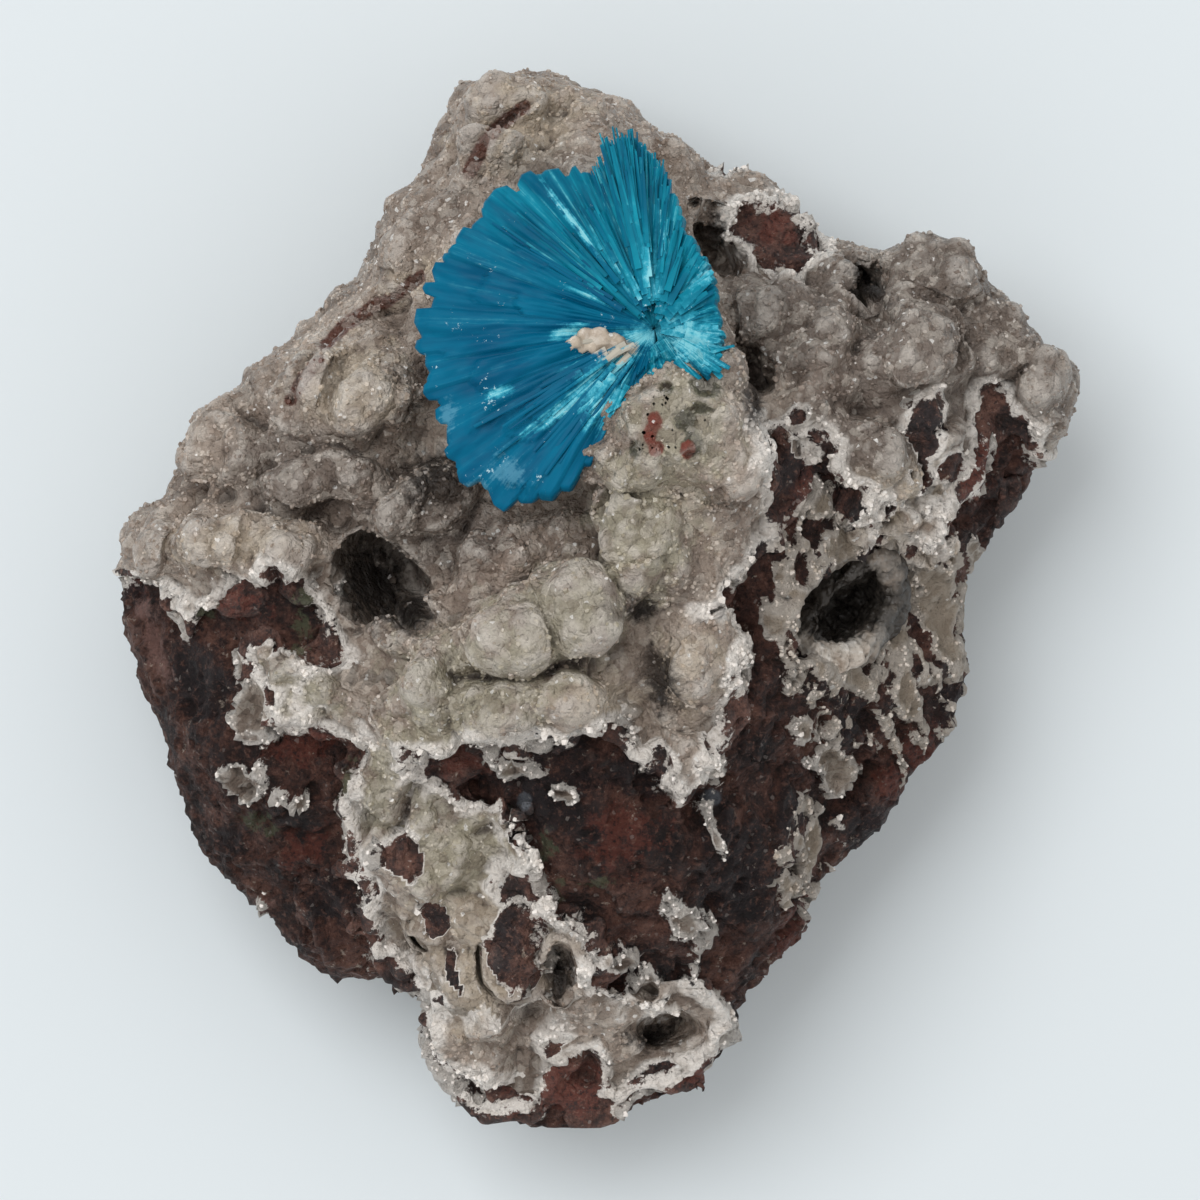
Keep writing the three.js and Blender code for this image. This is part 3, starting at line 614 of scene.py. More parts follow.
crust = {
    "voxel": 0.30,
    "cracks": (((470, 175), (482, 150), (500, 125), (525, 108)),
               ((325, 345), (345, 325), (375, 305), (395, 298), (420, 277)),
               ((293, 400), (305, 380), (320, 362))),
    "greenish": ((560, 620, 90, 60, 20), (470, 690, 90, 70, 15), (680, 420, 60, 70, 0),
                 (640, 520, 50, 90, 0), (430, 760, 50, 60, 0), (450, 850, 60, 60, 0), (380, 800, 30, 60, 0),
                 (300, 690, 40, 40, 0)),
    "cream": ((590, 700, 60, 40, 0), (430, 740, 70, 50, 0), (640, 560, 40, 50, 0), (350, 390, 60, 60, 20),
              (690, 660, 50, 50, 0), (870, 500, 50, 50, 0), (240, 540, 90, 30, 5), (470, 990, 60, 60, 0),
              (420, 280, 50, 20, 30), (920, 480, 50, 60, 0), (600, 346, 60, 30, 0), (530, 120, 70, 60, 0),
              (660, 500, 60, 60, 0), (480, 900, 110, 90, 0)),
    "rust": ((654, 424, 9, 12, 30), (649, 437, 8, 14, 0), (655, 451, 8, 10, -30), (686, 452, 8, 11, 0)),
    "moss": ((705, 388, 18, 16, 0), (665, 392, 8, 8, 0), (700, 412, 14, 8, 0), (685, 425, 14, 16, 0),
             (635, 452, 8, 12, 0), (690, 447, 12, 14, 0)),
    "pinkish": ((500, 560, 70, 90, 0), (300, 470, 90, 60, 0), (860, 370, 80, 70, 0), (560, 690, 60, 20, 0),
                (700, 640, 40, 60, 0)),
    # painted shade: dark spots in the holes and deep crevices
    "shade": ((374, 584, 44, 60, 15), (410, 612, 30, 34, 30), (660, 680, 22, 50, 10), (870, 285, 14, 40, 35),
              (715, 225, 14, 30, 0), (752, 400, 14, 44, 0), (640, 610, 24, 16, 0), (560, 975, 14, 30, 0),
              (650, 1040, 40, 16, 0), (440, 480, 60, 40, 0)),
    "grey": ((950, 330, 220, 160, -20), (300, 470, 90, 60, 0), (790, 290, 90, 110, 0), (870, 430, 110, 60, 0),
             (420, 530, 110, 60, 0), (560, 200, 60, 60, 0)),
    # painted shade on the darker places in the valleys between lumps and beside the fan
    "dusk": ((310, 505, 60, 24, -10), (250, 472, 50, 18, 0), (455, 500, 40, 32, 0), (580, 500, 30, 24, 0),
             (740, 370, 24, 62, 10), (820, 300, 32, 26, 30), (845, 400, 26, 18, 0), (705, 235, 18, 42, 0),
             (650, 665, 18, 38, 0), (610, 612, 26, 13, -20), (360, 440, 42, 18, 0), (205, 492, 60, 15, 0),
             (960, 330, 22, 15, 0), (660, 590, 30, 13, 20), (400, 470, 26, 30, 0), (780, 300, 24, 30, 0),
             (900, 400, 26, 12, 10), (330, 300, 40, 14, 30), (1000, 300, 30, 12, -40),
             (860, 320, 50, 14, 20), (960, 390, 40, 14, 30), (800, 370, 20, 30, 0), (240, 420, 16, 30, 0),
             (690, 590, 26, 20, 0)),
    # holes in the crust
    "deep": ((374, 580, 36, 52, 15), (412, 612, 20, 26, 30), (563, 975, 12, 26, 0), (865, 285, 12, 40, 35),
             (712, 225, 12, 26, 0)),
    # where the gaps between lumps have grown shut
    "shut": ((540, 655, 130, 70, 8), (460, 700, 80, 50, 0), (690, 640, 60, 60, 0), (650, 520, 60, 90, 0),
             (340, 385, 60, 50, 20), (245, 540, 110, 40, -5)),
    # the knob's side that lies over the fan: u, v, height, radius
    "shoulder": ((588, 446, 31.2, 1.5), (604, 432, 31.2, 1.7), (616, 448, 31.0, 2.2), (592, 464, 30.6, 1.2),
                 (622, 420, 31.3, 1.5), (636, 404, 31.4, 1.2)),
    # how many, least and most radius, rise, roundness
    "nodules": ((560, (1.1, 2.6), 0.52, 0.95), (3200, (0.5, 1.1), 0.50, 0.7), (5200, (0.28, 0.5), 0.34, 0.7)),
    "swells": ((0.8, 5.0, 0.06), (4.5, 8.0, 0.30)),  # size, seed, rise
    "crackDepth": 0.9,
    "mossDepth": 0.6,
    "holeDepth": 1.3,
    "shutRounds": 100,  # of smoothing, to find the gaps
    "lowest": 8,  # no rim and no window floor below this height
    "rimStep": 7,  # in the picture's pixels, like the next
    "rimWander": 15,
    "rimRadii": (0.3, 0.4, 0.55, 0.75),
    # mark, how far its edge wanders, low and high end of its fade, share, colour
    "tints": (("pinkish", 1.0, -0.2, 0.8, 0.5, (0.435, 0.335, 0.278)),
              ("cream", 1.0, -0.1, 0.8, 0.75, (0.55, 0.465, 0.355)),
              ("grey", 0.25, -0.05, 0.45, 0.75, (0.170, 0.140, 0.120)),
              ("greenish", 1.0, -0.2, 0.6, 0.75, (0.41, 0.385, 0.285)),
              ("moss", 0.35, -0.05, 0.35, 0.85, (0.100, 0.105, 0.062))),
    "stains": (("rust", 0.3, 0.0, 0.3, 1.0, (0.20, 0.04, 0.022)),
               ("crack", 0.08, 0.34, 0.54, 1.0, (0.12, 0.042, 0.027))),
    # swellings of the crust: u, v, half width, half height, turn, rise in millimetres
    "forms": ((548, 622, 100, 50, 22, 1.9), (525, 702, 100, 34, 6, 1.5), (422, 722, 42, 62, 0, 1.9),
              (700, 655, 40, 66, 0, 1.3), (640, 515, 46, 84, -10, 1.4), (684, 442, 88, 82, 0, 0.8),
              (700, 530, 66, 96, 8, 1.3), (690, 470, 80, 60, 0, 1.0), (345, 385, 70, 70, 20, 1.5),
              (215, 440, 46, 44, 0, 1.0), (150, 540, 42, 42, 0, 0.8), (245, 545, 90, 38, -8, 1.1),
              (500, 110, 60, 50, 0, 0.9), (600, 150, 60, 60, 0, 0.7), (420, 245, 60, 50, 40, 0.9),
              (745, 190, 40, 36, 0, 0.7), (940, 275, 66, 44, 0, 1.1), (1005, 330, 50, 50, 0, 0.9),
              (925, 360, 60, 52, 0, 1.3), (1055, 380, 36, 60, 0, 0.9), (800, 330, 66, 60, 0, 1.0),
              (740, 320, 36, 60, 0, 0.7), (870, 470, 60, 60, 0, 1.0), (470, 1050, 44, 60, 0, 0.8),
              (590, 1040, 50, 40, 0, 0.6), (430, 500, 60, 40, 20, 0.6), (520, 545, 60, 40, 0, 0.7),
              (320, 480, 70, 30, 0, 0.5), (300, 690, 40, 40, 0, 0.7), (400, 620, 34, 26, 30, 0.9),
              (280, 360, 50, 40, 30, 0.8), (690, 760, 34, 30, 0, 0.8), (440, 850, 40, 60, 0, 0.8),
              (380, 790, 24, 50, 0, 0.8), (850, 260, 40, 40, 0, 0.7)),
}

marks = {}
for group in (basalt, crust):
    for name in ("black", "brick", "green", "slate", "rosy", "greenish", "cream", "rust", "moss", "pinkish",
                 "grey", "shade", "dusk"):
        if name in group:
            marks[name] = group[name]


def crackDistance(where):
    # the cracks wander and swell a little
    away = np.min([lineDistance(where, line) for line in crust["cracks"]], axis=0)
    return away + 0.30 * np.abs(swell(where, 0.9, 12.0, 3))


def paintGround(piece, where, bare, hollow, nook=None):
    # the marks that the looks of rock and crust read
    top = unit((where[:, 2] - 7) / 3)
    for name, places in marks.items():
        paint(piece, name, spots(where, places) * top - (1 - top))
    paint(piece, "crack", unit(1 - crackDistance(where) / 0.9) * top)
    paint(piece, "bare", bare)
    paint(piece, "hollow", hollow)
    paint(piece, "nook", np.zeros(len(where)) if nook is None else nook)
    outside = insideOutline(where, ground["edge"] + ground["beyond"])
    paint(piece, "flank", unit(spots(where, ground["flank"]) * 3) * ~outside)


def layered(look, colour, wander, layers):
    # lays each marked tint over the colour
    for name, spread, low, high, share, tint in layers:
        colour = look.over(colour, look.mark(name) + wander * spread, low, high, share, tint)
    return colour


def rockColour(look, fine, grit):
    # red-brown to black, with a few pale specks
    patches = look.noise(3.4, 9.0, 0.74)
    wander = (look.noise(1.5, 7.0, 0.75) - 0.5) * 4.5
    colour = look.ramp(patches, ((0.37, (0.012, 0.008, 0.009)), (0.46, (0.040, 0.020, 0.017)),
                                 (0.53, (0.090, 0.038, 0.028)), (0.62, (0.175, 0.083, 0.060))))
    colour = layered(look, colour, wander, basalt["tints"])
    colour = look.over(colour, grit, 0.53, 0.68, 0.65, (0.24, 0.125, 0.095))
    colour = look.over(colour, grit, 0.48, 0.34, 0.8, (0.008, 0.005, 0.006))
    colour = layered(look, colour, wander, basalt["stains"])
    specks = look.step(look.noise(0.9, 7.0, 0.8) + (patches - 0.5) * 0.5, 0.62, 0.68)
    colour = look.mix(specks * 0.8, colour, look.mix(fine, (0.36, 0.27, 0.21), (0.62, 0.55, 0.47)))
    # painted highlights on a few small cells
    return look.mix(paintedSparkle(look) * 0.35, colour, (0.62, 0.56, 0.52))


def grainPlace(look):
    # the grains are uneven in size and shape
    push = look.vector("SUBTRACT", look.noise(1.1, 3.0, 0.6, output="Color"), (0.5, 0.5, 0.5))
    return look.vector("ADD", look.place, look.vector("SCALE", push, scale=0.0008))


def paintedSparkle(look):
    # painted highlight: a few small cells coloured light, as faces that catch the light
    chosen = look.vector("DOT_PRODUCT", look.cells(0.22, "Color"), (1.0, 0.0, 0.0), output="Value")
    return look.step(chosen, 0.989, 0.992) * 0.7


def rimShare(look, wander):
    # how much a place belongs to the white broken edge
    return look.step(look.mark("bare") + wander * 0.25, -1.35, -0.65) * (1.0 - look.mark("flank") * 0.6)


def crustColour(look, fine, grit):
    # grey to cream, grainy, white along the broken edges
    cloud = look.noise(5.0, 5.0, 0.6)
    wander = (look.noise(2.0, 5.0, 0.65) - 0.5) * 3.5
    colour = look.ramp(cloud, ((0.34, (0.205, 0.157, 0.126)), (0.5, (0.335, 0.268, 0.220)),
                               (0.66, (0.485, 0.405, 0.340))))
    colour = layered(look, colour, wander, crust["tints"])
    dots = look.step(look.mark("moss") + (grit - 0.5) * 3.0, 0.15, 0.5)
    colour = look.mix(dots * 0.85, colour, (0.045, 0.045, 0.028))
    colour = layered(look, colour, wander, crust["stains"])
    grains = grainPlace(look)
    tone = look.vector("DOT_PRODUCT", look.cells(0.66, "Color", grains), (1.0, 0.0, 0.0), output="Value")
    colour = look.over(colour, tone, 0.5, 1.0, 0.36, (0.76, 0.70, 0.62))
    colour = look.over(colour, tone, 0.5, 0.0, 0.34, (0.14, 0.098, 0.070))
    # painted shade at the grains' edges
    colour = look.over(colour, look.cells(0.66, place=grains), 0.45, 0.85, 0.10, (0.12, 0.085, 0.062))
    colour = look.over(colour, grit, 0.55, 0.80, 0.40, (0.78, 0.72, 0.65))
    colour = look.over(colour, grit, 0.46, 0.24, 0.35, (0.13, 0.098, 0.076))
    colour = look.mix(look.mark("flank") * 0.6, colour, (0.50, 0.42, 0.325))
    colour = look.mix(rimShare(look, wander) * 0.94, colour,
                      look.mix(look.step(fine, 0.30, 0.55), (0.70, 0.64, 0.58), (0.95, 0.905, 0.85)))
    # painted highlights on a few small cells
    return look.mix(paintedSparkle(look), colour, (0.97, 0.96, 0.93))


def groundColour(look):
    # crust, or rock where it shows
    fine = look.noise(0.8, 6.0, 0.7)
    grit = look.noise(0.38, 5.0, 0.7)
    edge = look.mark("bare") + (fine - 0.5) * 3.0
    bare = look.step(edge, -0.12, 0.12)
    colour = look.mix(bare, crustColour(look, fine, grit), rockColour(look, fine, grit))
    rim = rimShare(look, (fine - 0.5) * 3.0)
    # painted shade in the gaps, painted highlight on the rises
    for name, low, high, share, tint in (
            ("hollow", 0.05, 0.95, 0.85 - rim * 0.45, (0.030, 0.022, 0.018)),
            ("nook", 0.02, 0.16, 0.55 - rim * 0.4, (0.050, 0.036, 0.028)),
            ("nook", -0.01, -0.10, 0.24 - bare * 0.24, (0.90, 0.84, 0.77)),
            ("hollow", -0.05, -0.6, 0.22 - bare * 0.18, (0.85, 0.80, 0.74))):
        colour = look.over(colour, look.mark(name), low, high, share, tint)
    # painted shade, nearly black, in the holes and deep crevices
    shade = look.mark("shade") + (fine - 0.5) * 2
    colour = look.over(colour, shade, 0.0, 0.7, 0.94, (0.014, 0.010, 0.008))
    # painted shade, half dark, in the valleys
    dusk = look.mark("dusk") + (fine - 0.5) * 2.5
    colour = look.over(colour, dusk, 0.0, 0.9, 0.5, (0.085, 0.060, 0.045))
    return colour, bare, fine, grit


# Basalt

def shapeBasalt():
    random.seed(11)
    piece = remeshed(meshFromNode("basalt_matrix"), "basalt_rock", basalt["voxel"])
    smoothed(piece, 3)
    where, facing = points(piece), normals(piece)
    bare = bareness(where)
    height = np.zeros(len(where))
    for size, tall in basalt["chips"]:
        height += tall * chips(where, size, size)
    for size, tall in basalt["roughness"]:
        height += tall * swell(where, size, size * 3)
    onBase = where[:, 2] < 0.7
    pores = [i for i in random.sample(range(len(where)), basalt["pores"]) if not onBase[i]]
    radii = [random.choice(basalt["poreRadii"]) for _ in pores]
    height = height - domes(where, [where[i] for i in pores], radii, basalt["poreDepth"])
    covered = unit(-bare / 0.5)
    plain = 1 - unit(spots(where, ground["flank"]) * 3)
    grains = nodules(where, basalt["grains"], basalt["grainRadii"], 0.6, 0.5, covered > 0.2)
    grown = 0.30 * covered + lip(bare) * plain + (0.35 + 0.65 * plain) * covered * grains
    deepInside = unit(-bare - 1.5)
    height = height * (1 - 0.65 * covered) * (1 - 0.8 * deepInside) + grown * (1 - deepInside)
    fade = unit((where[:, 2] - 0.4) / 2.5)
    where = where + facing * (height * fade)[:, None]
    where[:, 2] = np.maximum(where[:, 2], 0.0)
    settle(piece, where)
    paintGround(piece, where, bare, hollowness(piece, 10), hollowness(piece, 2))
    return piece


def basaltLook():
    look = Look("basalt")
    colour, _, fine, grit = groundColour(look)
    surface = look.bump(grit * 1.2 + fine * 1.5, 0.60, look.glints(0.28, 0.7))
    return look.finish({
        "Base Color": colour,
        "Roughness": 0.95 - grit * 0.75,
        "Specular IOR Level": 0.35,
        "Normal": surface,
    })


rock = shapeBasalt()
rockTree = surfaceTree(rock)
onRock, rockFacing, rockBare = points(rock), normals(rock), marked(rock, "bare")
finishPiece(rock, basaltLook(), "basalt", "basalt_matrix")


# Stilbite crust

def addRim(bm):
    # a ragged raised rim where the crust has broken off the rock
    line = ground["edge"]
    wander = crust["rimWander"]
    for (au, av), (bu, bv) in zip(line, line[1:]):
        steps = max(1, int(math.hypot(bu - au, bv - av) / crust["rimStep"]))
        for i in range(steps):
            share = i / steps
            x, y = plan(au + (bu - au) * share + random.uniform(-wander, wander),
                        av + (bv - av) * share + random.uniform(-wander, wander))
            hit, _ = dropOnto(rockTree, x, y)
            if hit is None or hit.z < crust["lowest"]:
                continue
            radius = random.choice(crust["rimRadii"])
            addBlob(bm, hit + Vector((0, 0, random.uniform(-0.2, 0.6))), radius, 1.0, 2)


def formed(where):
    # the large rounded forms, each with a steep side and a flat round top
    height = np.full(len(where), -0.9)
    for u, v, halfWidth, halfHeight, turn, rise in crust["forms"]:
        depth = spots(where, ((u, v, halfWidth, halfHeight, turn),))
        share = unit((depth + 0.18) / 0.6)
        height = np.maximum(height, -0.9 + (rise + 0.9) * share * share * (3 - 2 * share))
    return height


def floorWindows(bm):
    # rock comes up to the crust in the windows
    for u, v, halfWidth, halfHeight, turn in ground["windows"]:
        hit, _ = dropOnto(rockTree, *plan(u, v))
        if hit is None or hit.z < crust["lowest"]:
            continue
        grow = 1.15 / photo["pixelsPerMm"]
        place = (Matrix.Translation(hit - Vector((0, 0, 0.35))) @ Matrix.Rotation(math.radians(turn), 4, "Z")
                 @ Matrix.Diagonal((halfWidth * grow, halfHeight * grow, 1.0, 1)))
        bmesh.ops.create_icosphere(bm, subdivisions=3, radius=1, matrix=place)


def shapeCrust():
    random.seed(23)
    bm = meshFromNode("stilbite_crust")
    for u, v, height, radius in crust["shoulder"]:
        addBlob(bm, Vector((*plan(u, v), height)), radius, 1.0, 3)
    addRim(bm)
    floorWindows(bm)
    piece = remeshed(bm, "stilbite_crust_druse", crust["voxel"])
    smoothed(piece, 8)
    where, facing = points(piece), normals(piece)
    shut = hollowness(piece, crust["shutRounds"]).clip(0, 3) * 0.95
    shut *= unit(spots(where, crust["shut"]) * 3)
    setPoints(piece, where + facing * shut[:, None])
    smoothed(piece, 3)
    where, facing = points(piece), normals(piece)
    bare = bareness(where)
    rockBelow = np.array([rockTree.find_nearest(p)[3] for p in where])
    outer = unit((rockBelow - 0.35) / 0.5)
    wander = np.stack([swell(where, 3.0, seed, 2) for seed in (1.0, 2.0)] + [np.zeros(len(where))], axis=1)
    upward = np.clip(facing[:, 2], 0.2, 1)
    height = outer * upward * (formed(where + wander * 0.9) * 1.2 - 0.45) - 0.3 * outer
    for number, radii, rise, roundness in crust["nodules"]:
        lumps = nodules(where, number, radii, rise, roundness, outer > 0.4)
        height = height + outer * (0.45 + 0.55 * upward) * lumps
    for size, seed, rise in crust["swells"]:
        height += outer * rise * swell(where, size, seed, 3)
    height -= crust["crackDepth"] * unit(1 - crackDistance(where) / 0.5)
    height -= crust["mossDepth"] * unit(spots(where, crust["moss"]) * 2)
    height -= crust["holeDepth"] * unit(spots(where, crust["deep"]) * 3)
    height += outer * lip(bare)
    shown = unit(bare / 0.5)
    chipped = -0.75 + 0.7 * chips(where, 1.8, 2.0) + 0.25 * swell(where, 0.8, 4.0, 3)
    height = height * (1 - shown) + shown * outer * chipped
    where = where + facing * height[:, None]
    settle(piece, where)
    paintGround(piece, where, bare, hollowness(piece, 24), hollowness(piece, 3))
    return piece


def crustLook():
    look = Look("stilbite")
    colour, bare, fine, grit = groundColour(look)
    grains = grainPlace(look)
    apart = look.cells(0.66, place=grains)
    small = look.cells(0.3, place=grains)
    height = grit * 0.7 + fine * 0.5 - apart * apart * 0.8 - small * 0.4
    surface = look.bump(height, 0.42, look.glints(0.22, 0.45))
    return look.finish({
        "Base Color": colour,
        "Roughness": bare * 0.35 + look.step(look.noise(0.3, 3.0), 0.3, 0.7) * 0.30 + 0.22,
        "Specular IOR Level": 0.55,
        "Normal": surface,
    })


druse = shapeCrust()
druseTree = surfaceTree(druse)
stilbite = crustLook()


# Small stilbite crystals

sprinkled = {
    "count": 8200,
    "sizes": (0.13, 0.16, 0.19, 0.23, 0.29),  # half widths
    "lengths": (0.8, 1.3),
    "tip": 0.55,
    "lean": 0.55,
}

edged = {
    "count": 1900,
    "bareFrom": -1.2,
    "lowest": 9,
    "upward": 0.5,
    "scaled": 0.8,
}


def turned(corners, facing, lean):
    # stands a crystal along the surface's normal, a little to one side
    axis = Vector(facing) + Vector([random.uniform(-lean, lean) for _ in range(3)])
    turn = axis.to_track_quat("Z", "Y").to_matrix() @ Matrix.Rotation(random.uniform(0, 6.28), 3, "Z")
    return corners @ np.array(turn).T


def shapeCrystals(name, seed, where, facing, bare, free, count, least=0.0, scaled=1.0):
    # crystals stand where the crust is, on the points that free allows
    random.seed(seed)
    shape, faces = taperedCrystal(sprinkled["tip"])
    copies, bareHere = [], []
    for i in random.sample(range(len(where)), len(where)):
        if not free[i] or bare[i] > -0.05 or facing[i][2] < least:
            continue
        size = random.choice(sprinkled["sizes"]) * scaled
        depth = size * random.uniform(0.55, 1.0)
        scale = np.array((size, depth, size * random.uniform(*sprinkled["lengths"])))
        local = turned(shape * scale, facing[i], sprinkled["lean"])
        copies.append(local + where[i] + facing[i] * size * random.uniform(-0.5, 0.0))
        bareHere += [bare[i]] * len(shape)
        if len(copies) == count:
            break
    piece = joinCopies(name, copies, faces)
    found = points(piece)
    settle(piece, found)
    paintGround(piece, found, np.array(bareHere), np.full(len(found), -0.12))
    return piece


def crystalLook():
    look = Look("stilbite crystals")
    fine = look.noise(0.8, 5.0, 0.7)
    grit = look.noise(0.38, 5.0, 0.7)
    colour = crustColour(look, fine, grit)
    # painted shade on the crystals in the holes and crevices
    shade = look.mark("shade") + (fine - 0.5) * 2
    colour = look.over(colour, shade, 0.0, 0.8, 0.72, (0.030, 0.024, 0.020))
    colour = look.over(colour, look.noise(0.7, 2.0, 0.5), 0.56, 0.68, 0.35, (0.72, 0.68, 0.62))
    return look.finish({
        "Base Color": colour,
        "Roughness": look.step(look.noise(0.5, 3.0), 0.35, 0.65) * 0.25 + 0.12,
        "Specular IOR Level": 0.6,
        "Normal": look.bump(grit, 0.04),
    })


onDruse, druseFacing = points(druse), normals(druse)
aboveRock = np.array([rockTree.find_nearest(p)[3] for p in onDruse]) > 0.8
crystals = shapeCrystals("stilbite_crystals", 29, onDruse, druseFacing, marked(druse, "bare"), aboveRock,
                         sprinkled["count"])
grown = crystalLook()
finishPiece(druse, stilbite, "stilbite", "stilbite_crust")
finishPiece(crystals, grown, "stilbite", smooth=False)
nearEdge = (rockBare > edged["bareFrom"]) & (onRock[:, 2] > edged["lowest"])
edging = shapeCrystals("stilbite_edging", 31, onRock, rockFacing, rockBare, nearEdge,
                       edged["count"], edged["upward"], edged["scaled"])
finishPiece(edging, grown, "stilbite", smooth=False)
print("crust ready")


# Cavansite fan

fan = {
    "centre": (3.83, 16.53, 30.6),
    "tilt": (-6.0, -7.0),
    "from": -76.0,
    "to": 274.0,
    # azimuth and radius of the outline
    "reach": ((-76, 2.6), (-56, 2.9), (-42, 3.9), (-31, 4.7), (-16, 4.5), (0, 4.2), (22, 4.1), (40, 4.8),
              (57, 5.4), (74, 6.3), (83, 8.6), (90, 10.8), (97, 12.0), (105, 12.4), (109, 10.6), (120, 11.4),
              (132, 12.6), (150, 13.6), (165, 14.2), (182, 14.7), (200, 14.8), (220, 15.3), (231, 14.2),
              (236, 13.0), (240, 11.7), (243.5, 10.0), (245, 6.6), (250, 5.2), (256, 4.0), (265, 2.7),
              (274, 2.6)),
    "around": 640,
    "outward": 60,
    "blades": 110,
    "halfThickness": 0.85,
    "cyan": ((650, 285, 12, 34, 6), (688, 345, 50, 40, -15), (600, 400, 40, 46, 0), (706, 275, 10, 14, 0),
             (570, 335, 26, 9, 15), (600, 385, 46, 9, 32), (622, 360, 26, 12, 20), (560, 415, 60, 9, 32),
             (638, 300, 6, 20, 0), (624, 275, 8, 16, -10), (645, 340, 40, 16, 0), (500, 395, 18, 7, 20),
             (572, 226, 52, 5, 127), (604, 258, 40, 4, 118), (590, 300, 34, 4, 160), (660, 240, 5, 50, 4),
             (606, 380, 26, 16, 30)),
    "frost": ((510, 475, 30, 20, 10), (480, 490, 16, 14, 0), (450, 420, 10, 30, -10)),
    "patch": ((598, 346, 30, 11, 0), (620, 352, 20, 10, 0)),
}


def fanReach(azimuth):
    # how far the fan reaches, in millimetres
    angles, lengths = zip(*fan["reach"])
    return np.interp(azimuth, angles, lengths)


def fanToRock(local):
    # from the fan's own plane to where it stands on the crust
    turn = (Matrix.Rotation(math.radians(fan["tilt"][1]), 3, "Y")
            @ Matrix.Rotation(math.radians(fan["tilt"][0]), 3, "X"))
    return local @ np.array(turn).T + np.array(fan["centre"])


def fanOutline(azimuth):
    # each blade ends in a straight slanting cut
    outline = fanReach(azimuth) * 0.93
    at = fan["from"]
    while at < fan["to"]:
        width = random.uniform(1.2, 2.6) if 84 < at < 112 else random.uniform(2.0, 5.2)
        at += width
        tip = float(fanReach(at)) * random.uniform(0.95, 1.03)
        off = (azimuth - at) / width
        cut = tip * (1 - 0.022 * np.abs(off) + random.uniform(-0.022, 0.022) * off)
        outline = np.maximum(outline, np.where(np.abs(off) < random.uniform(0.55, 0.9), cut, 0))
    return outline


def fanHeights(azimuth, radius):
    # the top face: overlapping blades, each nearly flat and cut off steeply at its sides
    height = np.zeros_like(azimuth)
    lift = 0.55 * np.sin(unit(radius / 15) * math.pi) + 0.25
    for _ in range(fan["blades"]):
        at = random.uniform(fan["from"], fan["to"])
        fine = 60 < at < 118
        half = random.uniform(0.9, 2.2) if fine else random.uniform(3.0, 9.0)
        start = random.uniform(0.0, 5.0)
        stop = float(fanReach(at)) * random.uniform(0.55, 1.1)
        tall = random.uniform(0.05, 0.75) * (1.25 if fine else 0.8)
        lean = random.uniform(-0.09, 0.09) if fine else random.uniform(-0.05, 0.05)
        off = azimuth - at
        top = tall + lean * off - 0.12 * np.abs(off) / half
        along = unit((radius - start) / 2.5)
        inside = (np.abs(off) < half) & (radius < stop - 0.12 * np.abs(off)) & (radius > start)
        height = np.where(inside, np.maximum(height, top * along), height)
    return height + lift


def shapeFan():
    random.seed(37)
    bm = bmesh.new()
    bmesh.ops.create_grid(bm, x_segments=fan["around"], y_segments=fan["outward"], size=0.5)
    bmesh.ops.solidify(bm, geom=bm.faces[:], thickness=0.2)
    piece = pieceFrom(bm, "cavansite_fan")
    where = points(piece)
    isTop = where[:, 2] > where[:, 2].mean()
    azimuth = fan["from"] + (where[:, 0] + 0.5) * (fan["to"] - fan["from"])
    share = 0.012 + 0.988 * (where[:, 1] + 0.5)
    radius = share * fanOutline(azimuth)
    top = fanHeights(azimuth, radius)
    polar = np.stack([azimuth * 0.9, radius * 0.22, radius * 0], axis=1)
    top += 0.03 * swell(polar, 1.0, 2.0, 4)
    broad = np.stack([azimuth * 0.09, radius * 0.16, radius * 0], axis=1)
    top += 0.45 * swell(broad, 1.0, 5.0, 3) * unit(radius / 6)
    sides = np.minimum(azimuth - fan["from"], fan["to"] - azimuth) / 6
    edge = np.sqrt(unit(np.minimum((1 - share) / 0.018, sides)))
    thick = fan["halfThickness"]
    under = -thick * 0.9 - 0.5 * unit(1 - radius / 9)
    height = np.where(isTop, top * edge + 0.12, (under - 0.12) * edge + 0.02 * (1 - edge))
    angle = np.radians(azimuth)
    local = np.stack([radius * np.cos(angle), radius * np.sin(angle), height], axis=1)
    where = fanToRock(local)
    settle(piece, where)
    paintFan(piece, where, azimuth, radius)
    bm = bmesh.new()
    bm.from_mesh(piece.data)
    bmesh.ops.recalc_face_normals(bm, faces=bm.faces)
    bm.to_mesh(piece.data)
    bm.free()
    return piece


def paintFan(piece, where, azimuth, radius):
    paint(piece, "around", azimuth)
    paint(piece, "outward", radius)
    for name in ("cyan", "frost", "patch"):
        paint(piece, name, spots(where, fan[name]))


fibres = {
    "tip": 0.45,
    "groups": (  # how many, azimuths, starts, shares of the reach, half widths, heights
        (70, (84, 111), (1.2, 5.5), (0.70, 1.00), (0.07, 0.18), (0.5, 1.5)),
        (190, (84, 112), (3.5, 10.0), (0.80, 1.04), (0.04, 0.11), (0.8, 1.8)),
        (70, (60, 125), (1.0, 4.0), (0.4, 0.8), (0.04, 0.10), (0.8, 1.6)),
        (44, (111, 150), (0.8, 6.0), (0.45, 0.9), (0.05, 0.13), (0.5, 1.3)),
        (56, (30, 84), (0.5, 3.0), (0.6, 1.02), (0.08, 0.26), (0.4, 1.2)),
        (26, (205, 238), (1.5, 8.0), (0.4, 0.85), (0.08, 0.20), (0.5, 1.3)),
        (16, (-16, 30), (0.4, 2.0), (0.6, 1.0), (0.18, 0.40), (0.3, 0.8)),
    ),
}


def sunk(local, tree):
    # lowers a blade until its middle lies on the fan
    middle = local.mean(0)
    hit, _ = dropOnto(tree, middle[0], middle[1])
    if hit is not None:
        local = local + np.array((0, 0, hit.z + 0.03 - middle[2]))
    return local


